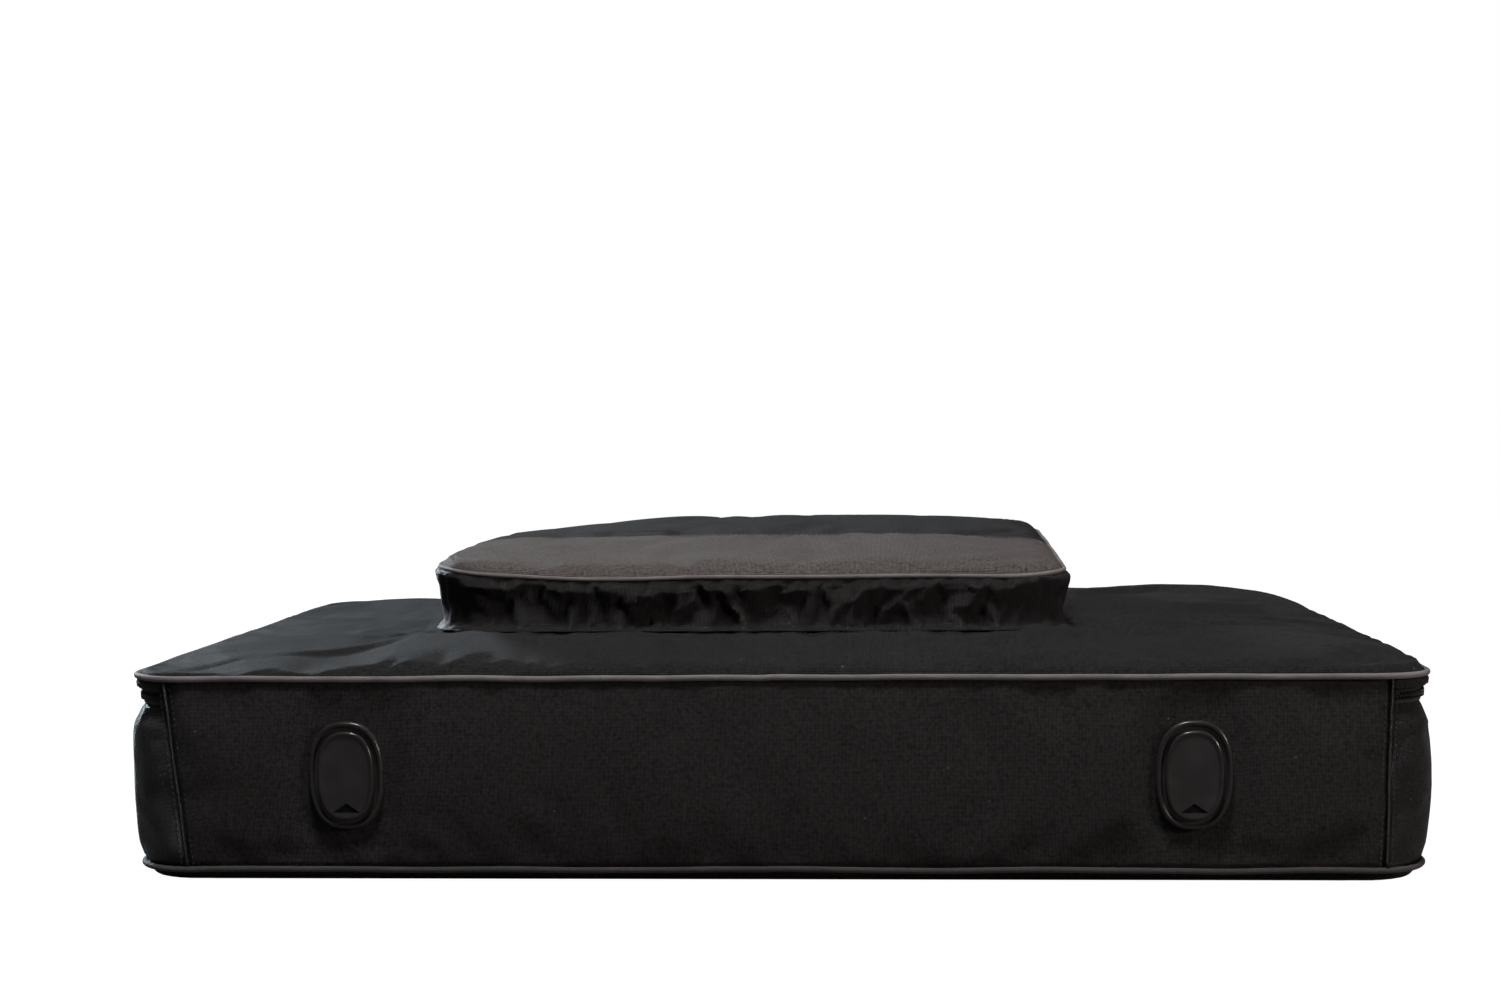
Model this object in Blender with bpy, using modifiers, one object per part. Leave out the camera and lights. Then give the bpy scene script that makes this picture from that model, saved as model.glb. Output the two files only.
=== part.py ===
"""Padded soft case for art boards, lying on its back.

The case is a tray (back panel, bottom wall and three zipped side walls) under a
padded front panel that folds up about its piped near edge. The front panel
carries an accessory pocket, whose rear half is a zipped flap. Two oval feet sit
on the bottom wall, and a ringed carry handle hangs on the far wall.

Frame: metres, +Z up. X runs along the case, -Y faces the bottom wall with the
feet, +Y faces the wall with the handle. The origin is the middle of the back
panel's underside.
"""

import math

import bmesh
import bpy
from mathutils import Matrix, Vector

MM = 0.001

# Driving dimensions
LENGTH = 940 * MM
DEPTH = 640 * MM
PIPING_RADIUS = 3 * MM
CORNER_RADIUS = 45 * MM
BACK_PIPING_Z = 10 * MM
FRONT_PIPING_Z = 148 * MM
GAP = 0.3 * MM

HALF_X = LENGTH / 2 - PIPING_RADIUS
HALF_Y = DEPTH / 2 - PIPING_RADIUS
CORNER_STEPS = 5

# Layers of a wall, as insets from the piping's centre line
COVER = (1.0 * MM, 2.5 * MM)
FOAM = (2.8 * MM, 7.6 * MM)
LINING = (7.9 * MM, 8.9 * MM)
BINDING = (9.2 * MM, 10.4 * MM)
ZIP_TAPE = (4.5 * MM, 5.3 * MM)
COIL_INSET = 2.7 * MM
PANEL_INSET = PIPING_RADIUS + GAP

# Zip line, as drops below the piping's centre line
STRIP_TOP = PIPING_RADIUS + GAP
STRIP_BOTTOM = 9.3 * MM
ZIP_DROP = 14.5 * MM
TAPE_HALF = 4.9 * MM
TAPE_EDGE = 0.6 * MM
COIL_RADIUS = 1.1 * MM
COIL_OFFSET = 1.65 * MM
WALL_TOP_DROP = ZIP_DROP + TAPE_HALF + GAP
ZIP_TURN = 84
SEAM_TURN = 89.5

# Front panel: (inset, height over the piping) of each ring of the padded crown
CROWN = (
    (3.3 * MM, -2.5 * MM),
    (3.6 * MM, 2.0 * MM),
    (7 * MM, 6.5 * MM),
    (14 * MM, 9.5 * MM),
    (30 * MM, 13 * MM),
    (60 * MM, 16.5 * MM),
    (90 * MM, 19 * MM),
    (114 * MM, 20.5 * MM),
)
COVER_THICKNESS = 1.2 * MM
PAD_THICKNESS = 8 * MM
LINING_THICKNESS = 0.8 * MM
LEAST_RING_RADIUS = 25 * MM

# Pocket on the front panel
POCKET_CENTRE = (-24 * MM, 10 * MM)
POCKET_HALF_X = 245 * MM
POCKET_HALF_Y = 190 * MM
POCKET_RADIUS = 50 * MM
POCKET_PIPING_RADIUS = 2.5 * MM
POCKET_NEAR_Z = 209.5 * MM
POCKET_FAR_Z = 230 * MM
POCKET_BASE_Z = FRONT_PIPING_Z + CROWN[-1][1] + GAP
POCKET_WALL = 1.5 * MM
POCKET_CROWN = (
    (2.8 * MM, -1.5 * MM),
    (6 * MM, 3 * MM),
    (16 * MM, 6.5 * MM),
    (45 * MM, 9.5 * MM),
    (90 * MM, 12.5 * MM),
    (130 * MM, 14 * MM),
)
FLAP_LINE_Y = -25 * MM
FLAP_HINGE_Z = 14.5 * MM
SPLIT_GAP = 0.3 * MM

# Feet
FOOT_LEFT_X = -305 * MM
FOOT_RIGHT_X = 297.5 * MM
FOOT_Z = 78.5 * MM
FOOT_HALF_WIDTH = 27 * MM
FOOT_HALF_HEIGHT = 39 * MM
CAP_HALF_WIDTH = 20.5 * MM
CAP_HALF_HEIGHT = 32 * MM
OVAL_POWER = 2.5
OVAL_POINTS = 28
RIVET_OFFSET = 18 * MM
RIVET_RADIUS = 2 * MM
RIVET_HOLE_RADIUS = 2.4 * MM
MARK_WIDTH = 19 * MM
MARK_HEIGHT = 7 * MM
MARK_DROP = 23 * MM

# Handle
HANDLE_X = 115 * MM
HANDLE_PIVOT_Y = 325.5 * MM
HANDLE_PIVOT_Z = 88 * MM
RING_DROP = 18 * MM
RING_HALF_WIDTH = 17 * MM
RING_WIRE = 1.6 * MM
GRIP_RADIUS = 8.5 * MM
GRIP_DROP = 54 * MM
GRIP_BEND = 22 * MM

# Zip sliders
SLIDER_X = 11 * MM
SLIDER_HALF = 9 * MM
POCKET_SLIDER_X = 11 * MM
LINK_RADIUS = 4 * MM
LINK_WIRE = 0.5 * MM
BRIDGE = Vector((0, 7.1 * MM, 0))
LINK_CENTRE = Vector((0, 1.6 * MM, -1.5 * MM))
PULL_LENGTH = 24 * MM

CASE = bpy.data.collections.new("portfolio_case")


# Scene, materials and object helpers


def clear_scene():
    for obj in list(bpy.data.objects):
        bpy.data.objects.remove(obj, do_unlink=True)
    bpy.context.scene.collection.children.link(CASE)


def make_material(name, colour, roughness, metallic=0.0):
    material = bpy.data.materials.new(name)
    material.use_nodes = True
    shader = material.node_tree.nodes["Principled BSDF"]
    shader.inputs["Base Color"].default_value = (*colour, 1)
    shader.inputs["Roughness"].default_value = roughness
    shader.inputs["Metallic"].default_value = metallic
    material.diffuse_color = (*colour, 1)
    return material


def make_materials():
    return {
        "black_fabric": make_material("black_fabric", (0.012, 0.012, 0.013), 0.7),
        "grey_fabric": make_material("grey_fabric", (0.060, 0.054, 0.052), 0.75),
        "piping": make_material("piping", (0.070, 0.066, 0.066), 0.5),
        "lining": make_material("lining", (0.030, 0.030, 0.033), 0.8),
        "foam": make_material("foam", (0.35, 0.35, 0.36), 0.9),
        "board": make_material("board", (0.18, 0.14, 0.10), 0.85),
        "webbing": make_material("webbing", (0.010, 0.010, 0.011), 0.65),
        "zip_tape": make_material("zip_tape", (0.009, 0.009, 0.010), 0.8),
        "zip_coil": make_material("zip_coil", (0.012, 0.012, 0.013), 0.4),
        "black_plastic": make_material("black_plastic", (0.015, 0.015, 0.015), 0.45),
        "metal": make_material("metal", (0.30, 0.30, 0.31), 0.3, 1.0),
    }


def add(name, data, material, parent=None):
    """An object of the case, in its collection, with its material."""
    obj = bpy.data.objects.new(name, data)
    CASE.objects.link(obj)
    if not data.materials:
        data.materials.append(material)
    obj.parent = parent
    return obj


def smooth(mesh, angle=35):
    mesh.shade_smooth()
    mesh.set_sharp_from_angle(angle=math.radians(angle))


def as_mesh(obj, weld=True):
    """The object's evaluated shape as a mesh in its own object, which takes its place."""
    bpy.context.view_layer.update()
    graph = bpy.context.evaluated_depsgraph_get()
    mesh = bpy.data.meshes.new_from_object(obj.evaluated_get(graph))
    if weld:
        bm = bmesh.new()
        bm.from_mesh(mesh)
        bmesh.ops.remove_doubles(bm, verts=bm.verts, dist=0.001 * MM)
        bm.to_mesh(mesh)
        bm.free()
    name, matrix, parent = obj.name, obj.matrix_world.copy(), obj.parent
    bpy.data.objects.remove(obj)
    made = bpy.data.objects.new(name, mesh)
    CASE.objects.link(made)
    made.parent = parent
    made.matrix_world = matrix
    return made


def boolean(target, tool, operation):
    """Adds tool to target, or cuts it away, and removes the tool."""
    modifier = target.modifiers.new("boolean", "BOOLEAN")
    modifier.operation = operation
    modifier.object = tool
    made = as_mesh(target, weld=False)
    bpy.data.objects.remove(tool)
    return made


def box(name, low, high, material, parent=None):
    """A box between two corners."""
    low, high = Vector(low), Vector(high)
    bm = bmesh.new()
    bmesh.ops.create_cube(bm, size=1)
    bmesh.ops.scale(bm, vec=high - low, verts=bm.verts)
    bmesh.ops.translate(bm, vec=(low + high) / 2, verts=bm.verts)
    mesh = bpy.data.meshes.new(name)
    bm.to_mesh(mesh)
    bm.free()
    return add(name, mesh, material, parent)


def cylinder(name, radius, start, end, material, parent=None, segments=16):
    """A round bar between two points."""
    start, end = Vector(start), Vector(end)
    axis = end - start
    turn = Vector((0, 0, 1)).rotation_difference(axis).to_matrix().to_4x4()
    bm = bmesh.new()
    bmesh.ops.create_cone(
        bm,
        cap_ends=True,
        segments=segments,
        radius1=radius,
        radius2=radius,
        depth=axis.length,
        matrix=Matrix.Translation((start + end) / 2) @ turn,
    )
    mesh = bpy.data.meshes.new(name)
    bm.to_mesh(mesh)
    bm.free()
    smooth(mesh)
    return add(name, mesh, material, parent)


def poly_curve(name, loops, cyclic):
    """A curve of straight-sided splines through the given loops of points."""
    curve = bpy.data.curves.new(name, "CURVE")
    curve.dimensions = "3D"
    for loop in loops:
        spline = curve.splines.new("POLY")
        spline.points.add(len(loop) - 1)
        for point, place in zip(spline.points, loop):
            point.co = (*Vector(place).to_3d(), 1)
        spline.use_cyclic_u = cyclic
    return curve


def tube(name, points, radius, material, cyclic=False, parent=None, sides=8):
    """A round tube that follows the points."""
    curve = poly_curve(name, [points], cyclic)
    curve.bevel_depth = radius
    curve.bevel_resolution = sides // 2 - 2
    curve.use_fill_caps = not cyclic
    return add(name, curve, material, parent)


def plate(name, loops, low, high, material, parent=None):
    """A flat outline, with the holes that further loops make, standing from low to high."""
    curve = poly_curve(name, loops, True)
    curve.dimensions = "2D"
    curve.fill_mode = "BOTH"
    curve.extrude = (high - low) / 2
    obj = add(name, curve, material, parent)
    obj.location.z = (low + high) / 2
    return obj


# Outlines


def arc(centre, radius, start, end, steps=CORNER_STEPS):
    """Points on a round corner, from one angle in degrees to another."""
    points = []
    for step in range(steps + 1):
        angle = math.radians(start + (end - start) * step / steps)
        points.append((centre[0] + radius * math.cos(angle), centre[1] + radius * math.sin(angle)))
    return points


def rounded_rectangle(half_x, half_y, radius, z=0.0):
    """A closed outline, anticlockwise from the near right corner."""
    x, y = half_x - radius, half_y - radius
    points = arc((x, -y), radius, -90, 0)
    points += arc((x, y), radius, 0, 90)
    points += arc((-x, y), radius, 90, 180)
    points += arc((-x, -y), radius, 180, 270)
    return [(px, py, z) for px, py in points]


def case_outline(inset, z=0.0):
    """The case's outline, this far inside the piping's centre line."""
    radius = max(CORNER_RADIUS - inset, min(CORNER_RADIUS, LEAST_RING_RADIUS))
    return rounded_rectangle(HALF_X - inset, HALF_Y - inset, radius, z)


def pocket_outline(inset, z=0.0):
    radius = max(POCKET_RADIUS - inset, LEAST_RING_RADIUS)
    return rounded_rectangle(POCKET_HALF_X - inset, POCKET_HALF_Y - inset, radius, z)


def three_sides(inset, turn=SEAM_TURN, z=0.0):
    """The open path round the left, far and right sides, ending this far round the near corners."""
    x, y = HALF_X - CORNER_RADIUS, HALF_Y - CORNER_RADIUS
    radius = CORNER_RADIUS - inset
    points = arc((-x, -y), radius, 180 + turn, 180)
    points += arc((-x, y), radius, 180, 90)
    points += arc((x, y), radius, 90, 0)
    points += arc((x, -y), radius, 0, -turn)
    return [(px, py, z) for px, py in points]


def rear_half(inset, z=0.0):
    """The open path round the pocket's rear half, from the flap line."""
    x, y = POCKET_HALF_X - POCKET_RADIUS, POCKET_HALF_Y - POCKET_RADIUS
    radius = POCKET_RADIUS - inset
    start = FLAP_LINE_Y + SPLIT_GAP
    points = [(-x - radius, start)] + arc((-x, y), radius, 180, 90)
    points += arc((x, y), radius, 90, 0) + [(x + radius, start)]
    return [(px, py, z) for px, py in points]


def front_half(inset, z=0.0):
    """The open path round the pocket's front half, from the flap line."""
    x, y = POCKET_HALF_X - POCKET_RADIUS, POCKET_HALF_Y - POCKET_RADIUS
    radius = POCKET_RADIUS - inset
    start = FLAP_LINE_Y - SPLIT_GAP
    points = [(x + radius, start)] + arc((x, -y), radius, 0, -90)
    points += arc((-x, -y), radius, -90, -180) + [(-x - radius, start)]
    return [(px, py, z) for px, py in points]


def strip(name, path, insets, low, high, material, parent=None):
    """A wall with the two insets as its faces, along an open path."""
    return plate(name, [path(insets[0]) + path(insets[1])[::-1]], low, high, material, parent)


def oval(half_width, half_height):
    """A squarish oval, as a closed outline."""
    points = []
    for step in range(OVAL_POINTS):
        angle = 2 * math.pi * step / OVAL_POINTS
        c, s = math.cos(angle), math.sin(angle)
        x = math.copysign(abs(c) ** (2 / OVAL_POWER), c) * half_width
        y = math.copysign(abs(s) ** (2 / OVAL_POWER), s) * half_height
        points.append((x, y, 0))
    return points


def lofted(rings):
    """A bmesh surface through closed rings of points, closed over the last one."""
    bm = bmesh.new()
    loops = []
    for ring in rings:
        verts = [bm.verts.new(point) for point in ring]
        pairs = zip(verts, verts[1:] + verts[:1])
        loops.append([bm.edges.new(pair) for pair in pairs])
    for outer, inner in zip(loops, loops[1:]):
        bmesh.ops.bridge_loops(bm, edges=outer + inner)
    bmesh.ops.contextual_create(bm, geom=loops[-1])
    bmesh.ops.recalc_face_normals(bm, faces=bm.faces)
    if max(bm.faces, key=lambda face: face.calc_area()).normal.z < 0:
        bmesh.ops.reverse_faces(bm, faces=bm.faces)
    return bm


def shell(name, bm, thickness, material, parent=None):
    """Gives an open surface its thickness, away from its normals."""
    mesh = bpy.data.meshes.new(name)
    bm.to_mesh(mesh)
    bm.free()
    smooth(mesh)
    obj = add(name, mesh, material, parent)
    solid = obj.modifiers.new("thickness", "SOLIDIFY")
    solid.thickness = thickness
    solid.offset = -1
    return obj


# Tray: back panel, walls and corner seams


def build_back_panel(materials):
    """A shallow fabric pan with a stiff board and a lining, and piping round its rim."""
    rim_z = BACK_PIPING_Z + 0.4 * MM
    rings = [
        case_outline(PANEL_INSET, rim_z),
        case_outline(PANEL_INSET + GAP, 5 * MM),
        case_outline(8 * MM, 1.5 * MM),
        case_outline(15 * MM, 0),
    ]
    bm = lofted(rings)
    bmesh.ops.reverse_faces(bm, faces=bm.faces)
    shell("back_cover", bm, COVER_THICKNESS, materials["black_fabric"])
    board_low = COVER_THICKNESS + GAP
    board_high = 9.6 * MM
    plate("back_board", [case_outline(16 * MM)], board_low, board_high, materials["board"])
    lining_low = board_high + GAP
    lining_high = lining_low + LINING_THICKNESS
    plate("back_lining", [case_outline(11 * MM)], lining_low, lining_high, materials["lining"])
    tube(
        "back_piping",
        case_outline(0, BACK_PIPING_Z),
        PIPING_RADIUS,
        materials["piping"],
        cyclic=True,
    )
    plate(
        "back_binding",
        [case_outline(BINDING[0]), case_outline(BINDING[1])],
        rim_z + GAP,
        rim_z + 6 * MM,
        materials["webbing"],
    )


def build_bottom_wall(materials):
    """The padded wall that the case stands on, in three layers that the feet's rivets cross."""
    low = BACK_PIPING_Z + PIPING_RADIUS + GAP
    high = FRONT_PIPING_Z - PIPING_RADIUS - GAP
    half = HALF_X - CORNER_RADIUS - GAP
    layers = (
        ("bottom_wall_cover", COVER, "black_fabric"),
        ("bottom_wall_foam", FOAM, "foam"),
        ("bottom_wall_lining", LINING, "lining"),
    )
    for name, insets, slot in layers:
        wall = box(
            name,
            (-half, -HALF_Y + insets[0], low),
            (half, -HALF_Y + insets[1], high),
            materials[slot],
        )
        for x, z in rivet_places():
            hole = cylinder(
                "hole",
                RIVET_HOLE_RADIUS,
                (x, -HALF_Y - 5 * MM, z),
                (x, -HALF_Y + 15 * MM, z),
                materials[slot],
                segments=12,
            )
            wall = boolean(wall, hole, "DIFFERENCE")


def build_side_walls(materials):
    """The left, far and right walls, which turn the near corners and end at the corner seams."""
    low = BACK_PIPING_Z + PIPING_RADIUS + GAP
    high = FRONT_PIPING_Z - WALL_TOP_DROP
    strip("side_wall_cover", three_sides, COVER, low, high, materials["black_fabric"])
    strip("side_wall_foam", three_sides, FOAM, low, high, materials["foam"])
    strip("side_wall_lining", three_sides, LINING, low, high, materials["lining"])
    seam_y = -HALF_Y + COVER[0] - GAP
    bead = 1.5 * MM
    for side, name in ((-1, "corner_seam_left"), (1, "corner_seam_right")):
        x = side * (HALF_X - CORNER_RADIUS)
        cylinder(
            name,
            bead,
            (x, seam_y - bead, low + GAP),
            (x, seam_y - bead, FRONT_PIPING_Z - PIPING_RADIUS - 2 * GAP),
            materials["webbing"],
            segments=10,
        )


def build_zip(prefix, path, piping_z, materials, parent=None):
    """Both tapes and both coils of a zip that follows the piping at this height."""
    zip_z = piping_z - ZIP_DROP
    for side, name in ((-1, "lower"), (1, "upper")):
        low, high = sorted((zip_z + side * TAPE_EDGE, zip_z + side * TAPE_HALF))
        tape = prefix + "_tape_" + name
        strip(tape, path, ZIP_TAPE, low, high, materials["zip_tape"], parent)
        coil = path(COIL_INSET, z=zip_z + side * COIL_OFFSET)
        tube(prefix + "_coil_" + name, coil, COIL_RADIUS, materials["zip_coil"], parent=parent)


def build_main_zip(materials):
    def zip_path(inset, z=0.0):
        return three_sides(inset, ZIP_TURN, z)

    build_zip("main_zip", zip_path, FRONT_PIPING_Z, materials)


# Front panel


def build_front_panel(materials):
    """The padded front panel, its piping, binding and the strip that hangs from it to the zip."""
    hinge = bpy.data.objects.new("front_panel_hinge", None)
    hinge.location = (0, -HALF_Y, FRONT_PIPING_Z)
    CASE.objects.link(hinge)

    def rings(levels, drop):
        return [case_outline(inset, height - drop) for inset, height in levels]

    def hang(obj):
        obj.location.y += HALF_Y
        obj.parent = hinge
        return obj

    fabric = materials["black_fabric"]
    hang(shell("front_cover", lofted(rings(CROWN, 0)), COVER_THICKNESS, fabric))
    pad_drop = COVER_THICKNESS + GAP
    pad = lofted(rings(CROWN[3:], pad_drop))
    hang(shell("front_foam", pad, PAD_THICKNESS, materials["foam"]))
    lining_drop = pad_drop + PAD_THICKNESS + GAP
    flat_rim = [(PANEL_INSET + 2 * MM, CROWN[3][1])]
    lining = lofted(rings(flat_rim + list(CROWN[3:]), lining_drop))
    hang(shell("front_lining", lining, LINING_THICKNESS, materials["lining"]))
    hang(
        tube("front_piping", case_outline(0), PIPING_RADIUS, materials["piping"], cyclic=True)
    )
    hang(strip("front_strip", three_sides, COVER, -STRIP_BOTTOM, -STRIP_TOP, fabric))
    binding = [case_outline(BINDING[0]), case_outline(BINDING[1])]
    hang(plate("front_binding", binding, -7.5 * MM, -2 * MM, materials["webbing"]))
    bpy.context.view_layer.update()
    for name in ("main_zip_tape_upper", "main_zip_coil_upper"):
        obj = bpy.data.objects[name]
        world = obj.matrix_world.copy()
        obj.parent = hinge
        obj.matrix_world = world
    return hinge


# Pocket


def pocket_plane():
    """The empty that carries the pocket's sloping top, with its origin on the piping's plane."""
    slope = math.atan((POCKET_FAR_Z - POCKET_NEAR_Z) / (2 * POCKET_HALF_Y))
    plane = bpy.data.objects.new("pocket_plane", None)
    plane.location = (*POCKET_CENTRE, (POCKET_NEAR_Z + POCKET_FAR_Z) / 2)
    plane.rotation_euler.x = slope
    CASE.objects.link(plane)
    return plane


def stand_on_front(obj, plane):
    """Moves the lower half of a pocket wall's points down to the front panel."""
    made = as_mesh(obj)
    bpy.context.view_layer.update()
    matrix = made.matrix_world
    middle = sum((v.co.z for v in made.data.vertices)) / len(made.data.vertices)
    slope = plane.rotation_euler.x
    for vertex in made.data.vertices:
        if vertex.co.z < middle:
            world = matrix @ vertex.co
            vertex.co.z += (POCKET_BASE_Z - world.z) / math.cos(slope)
    return made


def build_pocket(materials, hinge):
    plane = pocket_plane()
    fabric = materials["black_fabric"]
    insets = (COVER[0], COVER[0] + POCKET_WALL)
    lower_top = -WALL_TOP_DROP
    wall = [pocket_outline(inset) for inset in insets]
    lower = plate("pocket_gusset", wall, lower_top - 20 * MM, lower_top, fabric, plane)
    stand_on_front(lower, plane)
    top = -POCKET_PIPING_RADIUS - GAP
    strip("pocket_gusset_top", front_half, insets, lower_top + GAP, top, fabric, plane)

    crown = [pocket_outline(inset, height) for inset, height in POCKET_CROWN]
    for name, side, slot in (
        ("pocket_front_panel", -1, "grey_fabric"),
        ("pocket_flap_panel", 1, "black_fabric"),
    ):
        bm = lofted(crown)
        bmesh.ops.bisect_plane(
            bm,
            geom=list(bm.verts) + list(bm.edges) + list(bm.faces),
            plane_co=(0, FLAP_LINE_Y + side * SPLIT_GAP / 2, 0),
            plane_no=(0, side, 0),
            clear_inner=True,
        )
        shell(name, bm, COVER_THICKNESS, materials[slot], plane)

    piping = materials["piping"]
    tube("pocket_piping_front", front_half(0), POCKET_PIPING_RADIUS, piping, parent=plane)
    tube("pocket_piping_flap", rear_half(0), POCKET_PIPING_RADIUS, piping, parent=plane)
    strip("pocket_flap_strip", rear_half, insets, -STRIP_BOTTOM, top, fabric, plane)
    build_zip("pocket_zip", rear_half, 0, materials, plane)

    flap_hinge = bpy.data.objects.new("pocket_flap_hinge", None)
    CASE.objects.link(flap_hinge)
    bpy.context.view_layer.update()
    flap_hinge.matrix_world = plane.matrix_world @ Matrix.Translation((0, FLAP_LINE_Y, FLAP_HINGE_Z))
    bpy.context.view_layer.update()
    flap = (
        "pocket_flap_panel",
        "pocket_piping_flap",
        "pocket_flap_strip",
        "pocket_zip_tape_upper",
        "pocket_zip_coil_upper",
    )
    for name in flap:
        obj = bpy.data.objects[name]
        world = obj.matrix_world.copy()
        obj.parent = flap_hinge
        obj.matrix_world = world
    for obj in (plane, flap_hinge):
        world = obj.matrix_world.copy()
        obj.parent = hinge
        obj.matrix_world = world
    return plane


# Feet


def rivet_places():
    """Where the feet's rivets cross the bottom wall, as (x, z)."""
    places = []
    for x in (FOOT_LEFT_X, FOOT_RIGHT_X):
        places.append((x, FOOT_Z + RIVET_OFFSET))
        places.append((x, FOOT_Z - RIVET_OFFSET))
    return places


def face_outwards(obj, x, inset):
    """Stands a plate, made flat with its front up, on the bottom wall at this inset."""
    obj.rotation_euler.x = math.pi / 2
    obj.location = (x, -HALF_Y + inset, FOOT_Z)
    bpy.context.view_layer.update()
    return obj


def build_foot(side, x, materials):
    """A rimmed oval base, a raised cap with a triangular recess, a backing plate and two rivets."""
    plastic = materials["black_plastic"]
    outer = oval(FOOT_HALF_WIDTH, FOOT_HALF_HEIGHT)
    inner = oval(FOOT_HALF_WIDTH - 3.2 * MM, FOOT_HALF_HEIGHT - 3.2 * MM)
    base_high = 2 * MM
    base = plate("foot_base_" + side, [outer], 0, base_high, plastic)
    rim = plate("rim", [outer, inner], base_high - 0.5 * MM, 4 * MM, plastic)
    base = boolean(as_mesh(base), as_mesh(rim), "UNION")
    for offset in (-RIVET_OFFSET, RIVET_OFFSET):
        hole = cylinder(
            "hole",
            RIVET_HOLE_RADIUS,
            (0, offset, -1 * MM),
            (0, offset, 5 * MM),
            plastic,
            segments=12,
        )
        base = boolean(base, hole, "DIFFERENCE")
    base.data.transform(Matrix.Translation((0, 0, base.location.z)))
    face_outwards(base, x, COVER[0] - GAP)
    smooth(base.data)

    cap_low, cap_high = base_high + GAP, 5.6 * MM
    cap = plate("foot_cap_" + side, [oval(CAP_HALF_WIDTH, CAP_HALF_HEIGHT)], cap_low, cap_high, plastic)
    cap = as_mesh(cap)
    cap.data.transform(Matrix.Translation((0, 0, cap.location.z)))
    cap.location.z = 0
    round_rim(cap.data, cap_high, 1.4 * MM)
    triangle = [
        (-MARK_WIDTH / 2, -MARK_DROP - MARK_HEIGHT / 2, 0),
        (MARK_WIDTH / 2, -MARK_DROP - MARK_HEIGHT / 2, 0),
        (0, -MARK_DROP + MARK_HEIGHT / 2, 0),
    ]
    recess = plate("recess", [triangle], cap_high - 1.3 * MM, cap_high + 2 * MM, plastic)
    cap = boolean(cap, as_mesh(recess), "DIFFERENCE")
    face_outwards(cap, x, COVER[0] - GAP)
    smooth(cap.data)

    backing_inset = BINDING[0]
    backing = box(
        "foot_backing_" + side,
        (x - 12 * MM, -HALF_Y + backing_inset, FOOT_Z - 28 * MM),
        (x + 12 * MM, -HALF_Y + backing_inset + 1.5 * MM, FOOT_Z + 28 * MM),
        plastic,
    )
    head_inset = backing_inset + 1.5 * MM + GAP
    tip_inset = COVER[0] - GAP - base_high + 0.2 * MM
    places = [place for place in rivet_places() if place[0] == x]
    for number, (rivet_x, z) in enumerate(places, 1):
        hole = cylinder(
            "hole",
            RIVET_HOLE_RADIUS,
            (rivet_x, -HALF_Y, z),
            (rivet_x, -HALF_Y + 20 * MM, z),
            plastic,
            segments=12,
        )
        backing = boolean(backing, hole, "DIFFERENCE")
        shank = cylinder(
            "foot_rivet_%s_%d" % (side, number),
            RIVET_RADIUS,
            (rivet_x, -HALF_Y + tip_inset, z),
            (rivet_x, -HALF_Y + head_inset + 0.5 * MM, z),
            materials["metal"],
            segments=12,
        )
        head = cylinder(
            "head",
            4.2 * MM,
            (rivet_x, -HALF_Y + head_inset, z),
            (rivet_x, -HALF_Y + head_inset + 1.4 * MM, z),
            materials["metal"],
            segments=12,
        )
        boolean(shank, head, "UNION")


def round_rim(mesh, top, width):
    """Rounds the edge round a plate's top face."""
    bm = bmesh.new()
    bm.from_mesh(mesh)
    bmesh.ops.dissolve_limit(bm, angle_limit=0.01, verts=bm.verts, edges=bm.edges)
    rim = [
        edge
        for edge in bm.edges
        if all(abs(vert.co.z - top) < 0.01 * MM for vert in edge.verts)
    ]
    bmesh.ops.bevel(bm, geom=rim, offset=width, segments=3, profile=0.5, affect="EDGES")
    bm.to_mesh(mesh)
    bm.free()


# Handle


def sleeve(name, x, z, outer, inner, half_length, material):
    """A round loop of webbing along X, open for a ring's bar."""
    y = HANDLE_PIVOT_Y
    made = cylinder(name, outer, (x - half_length, y, z), (x + half_length, y, z), material)
    bore = cylinder("bore", inner, (x - 0.05, y, z), (x + 0.05, y, z), material)
    return boolean(made, bore, "DIFFERENCE")


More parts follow.
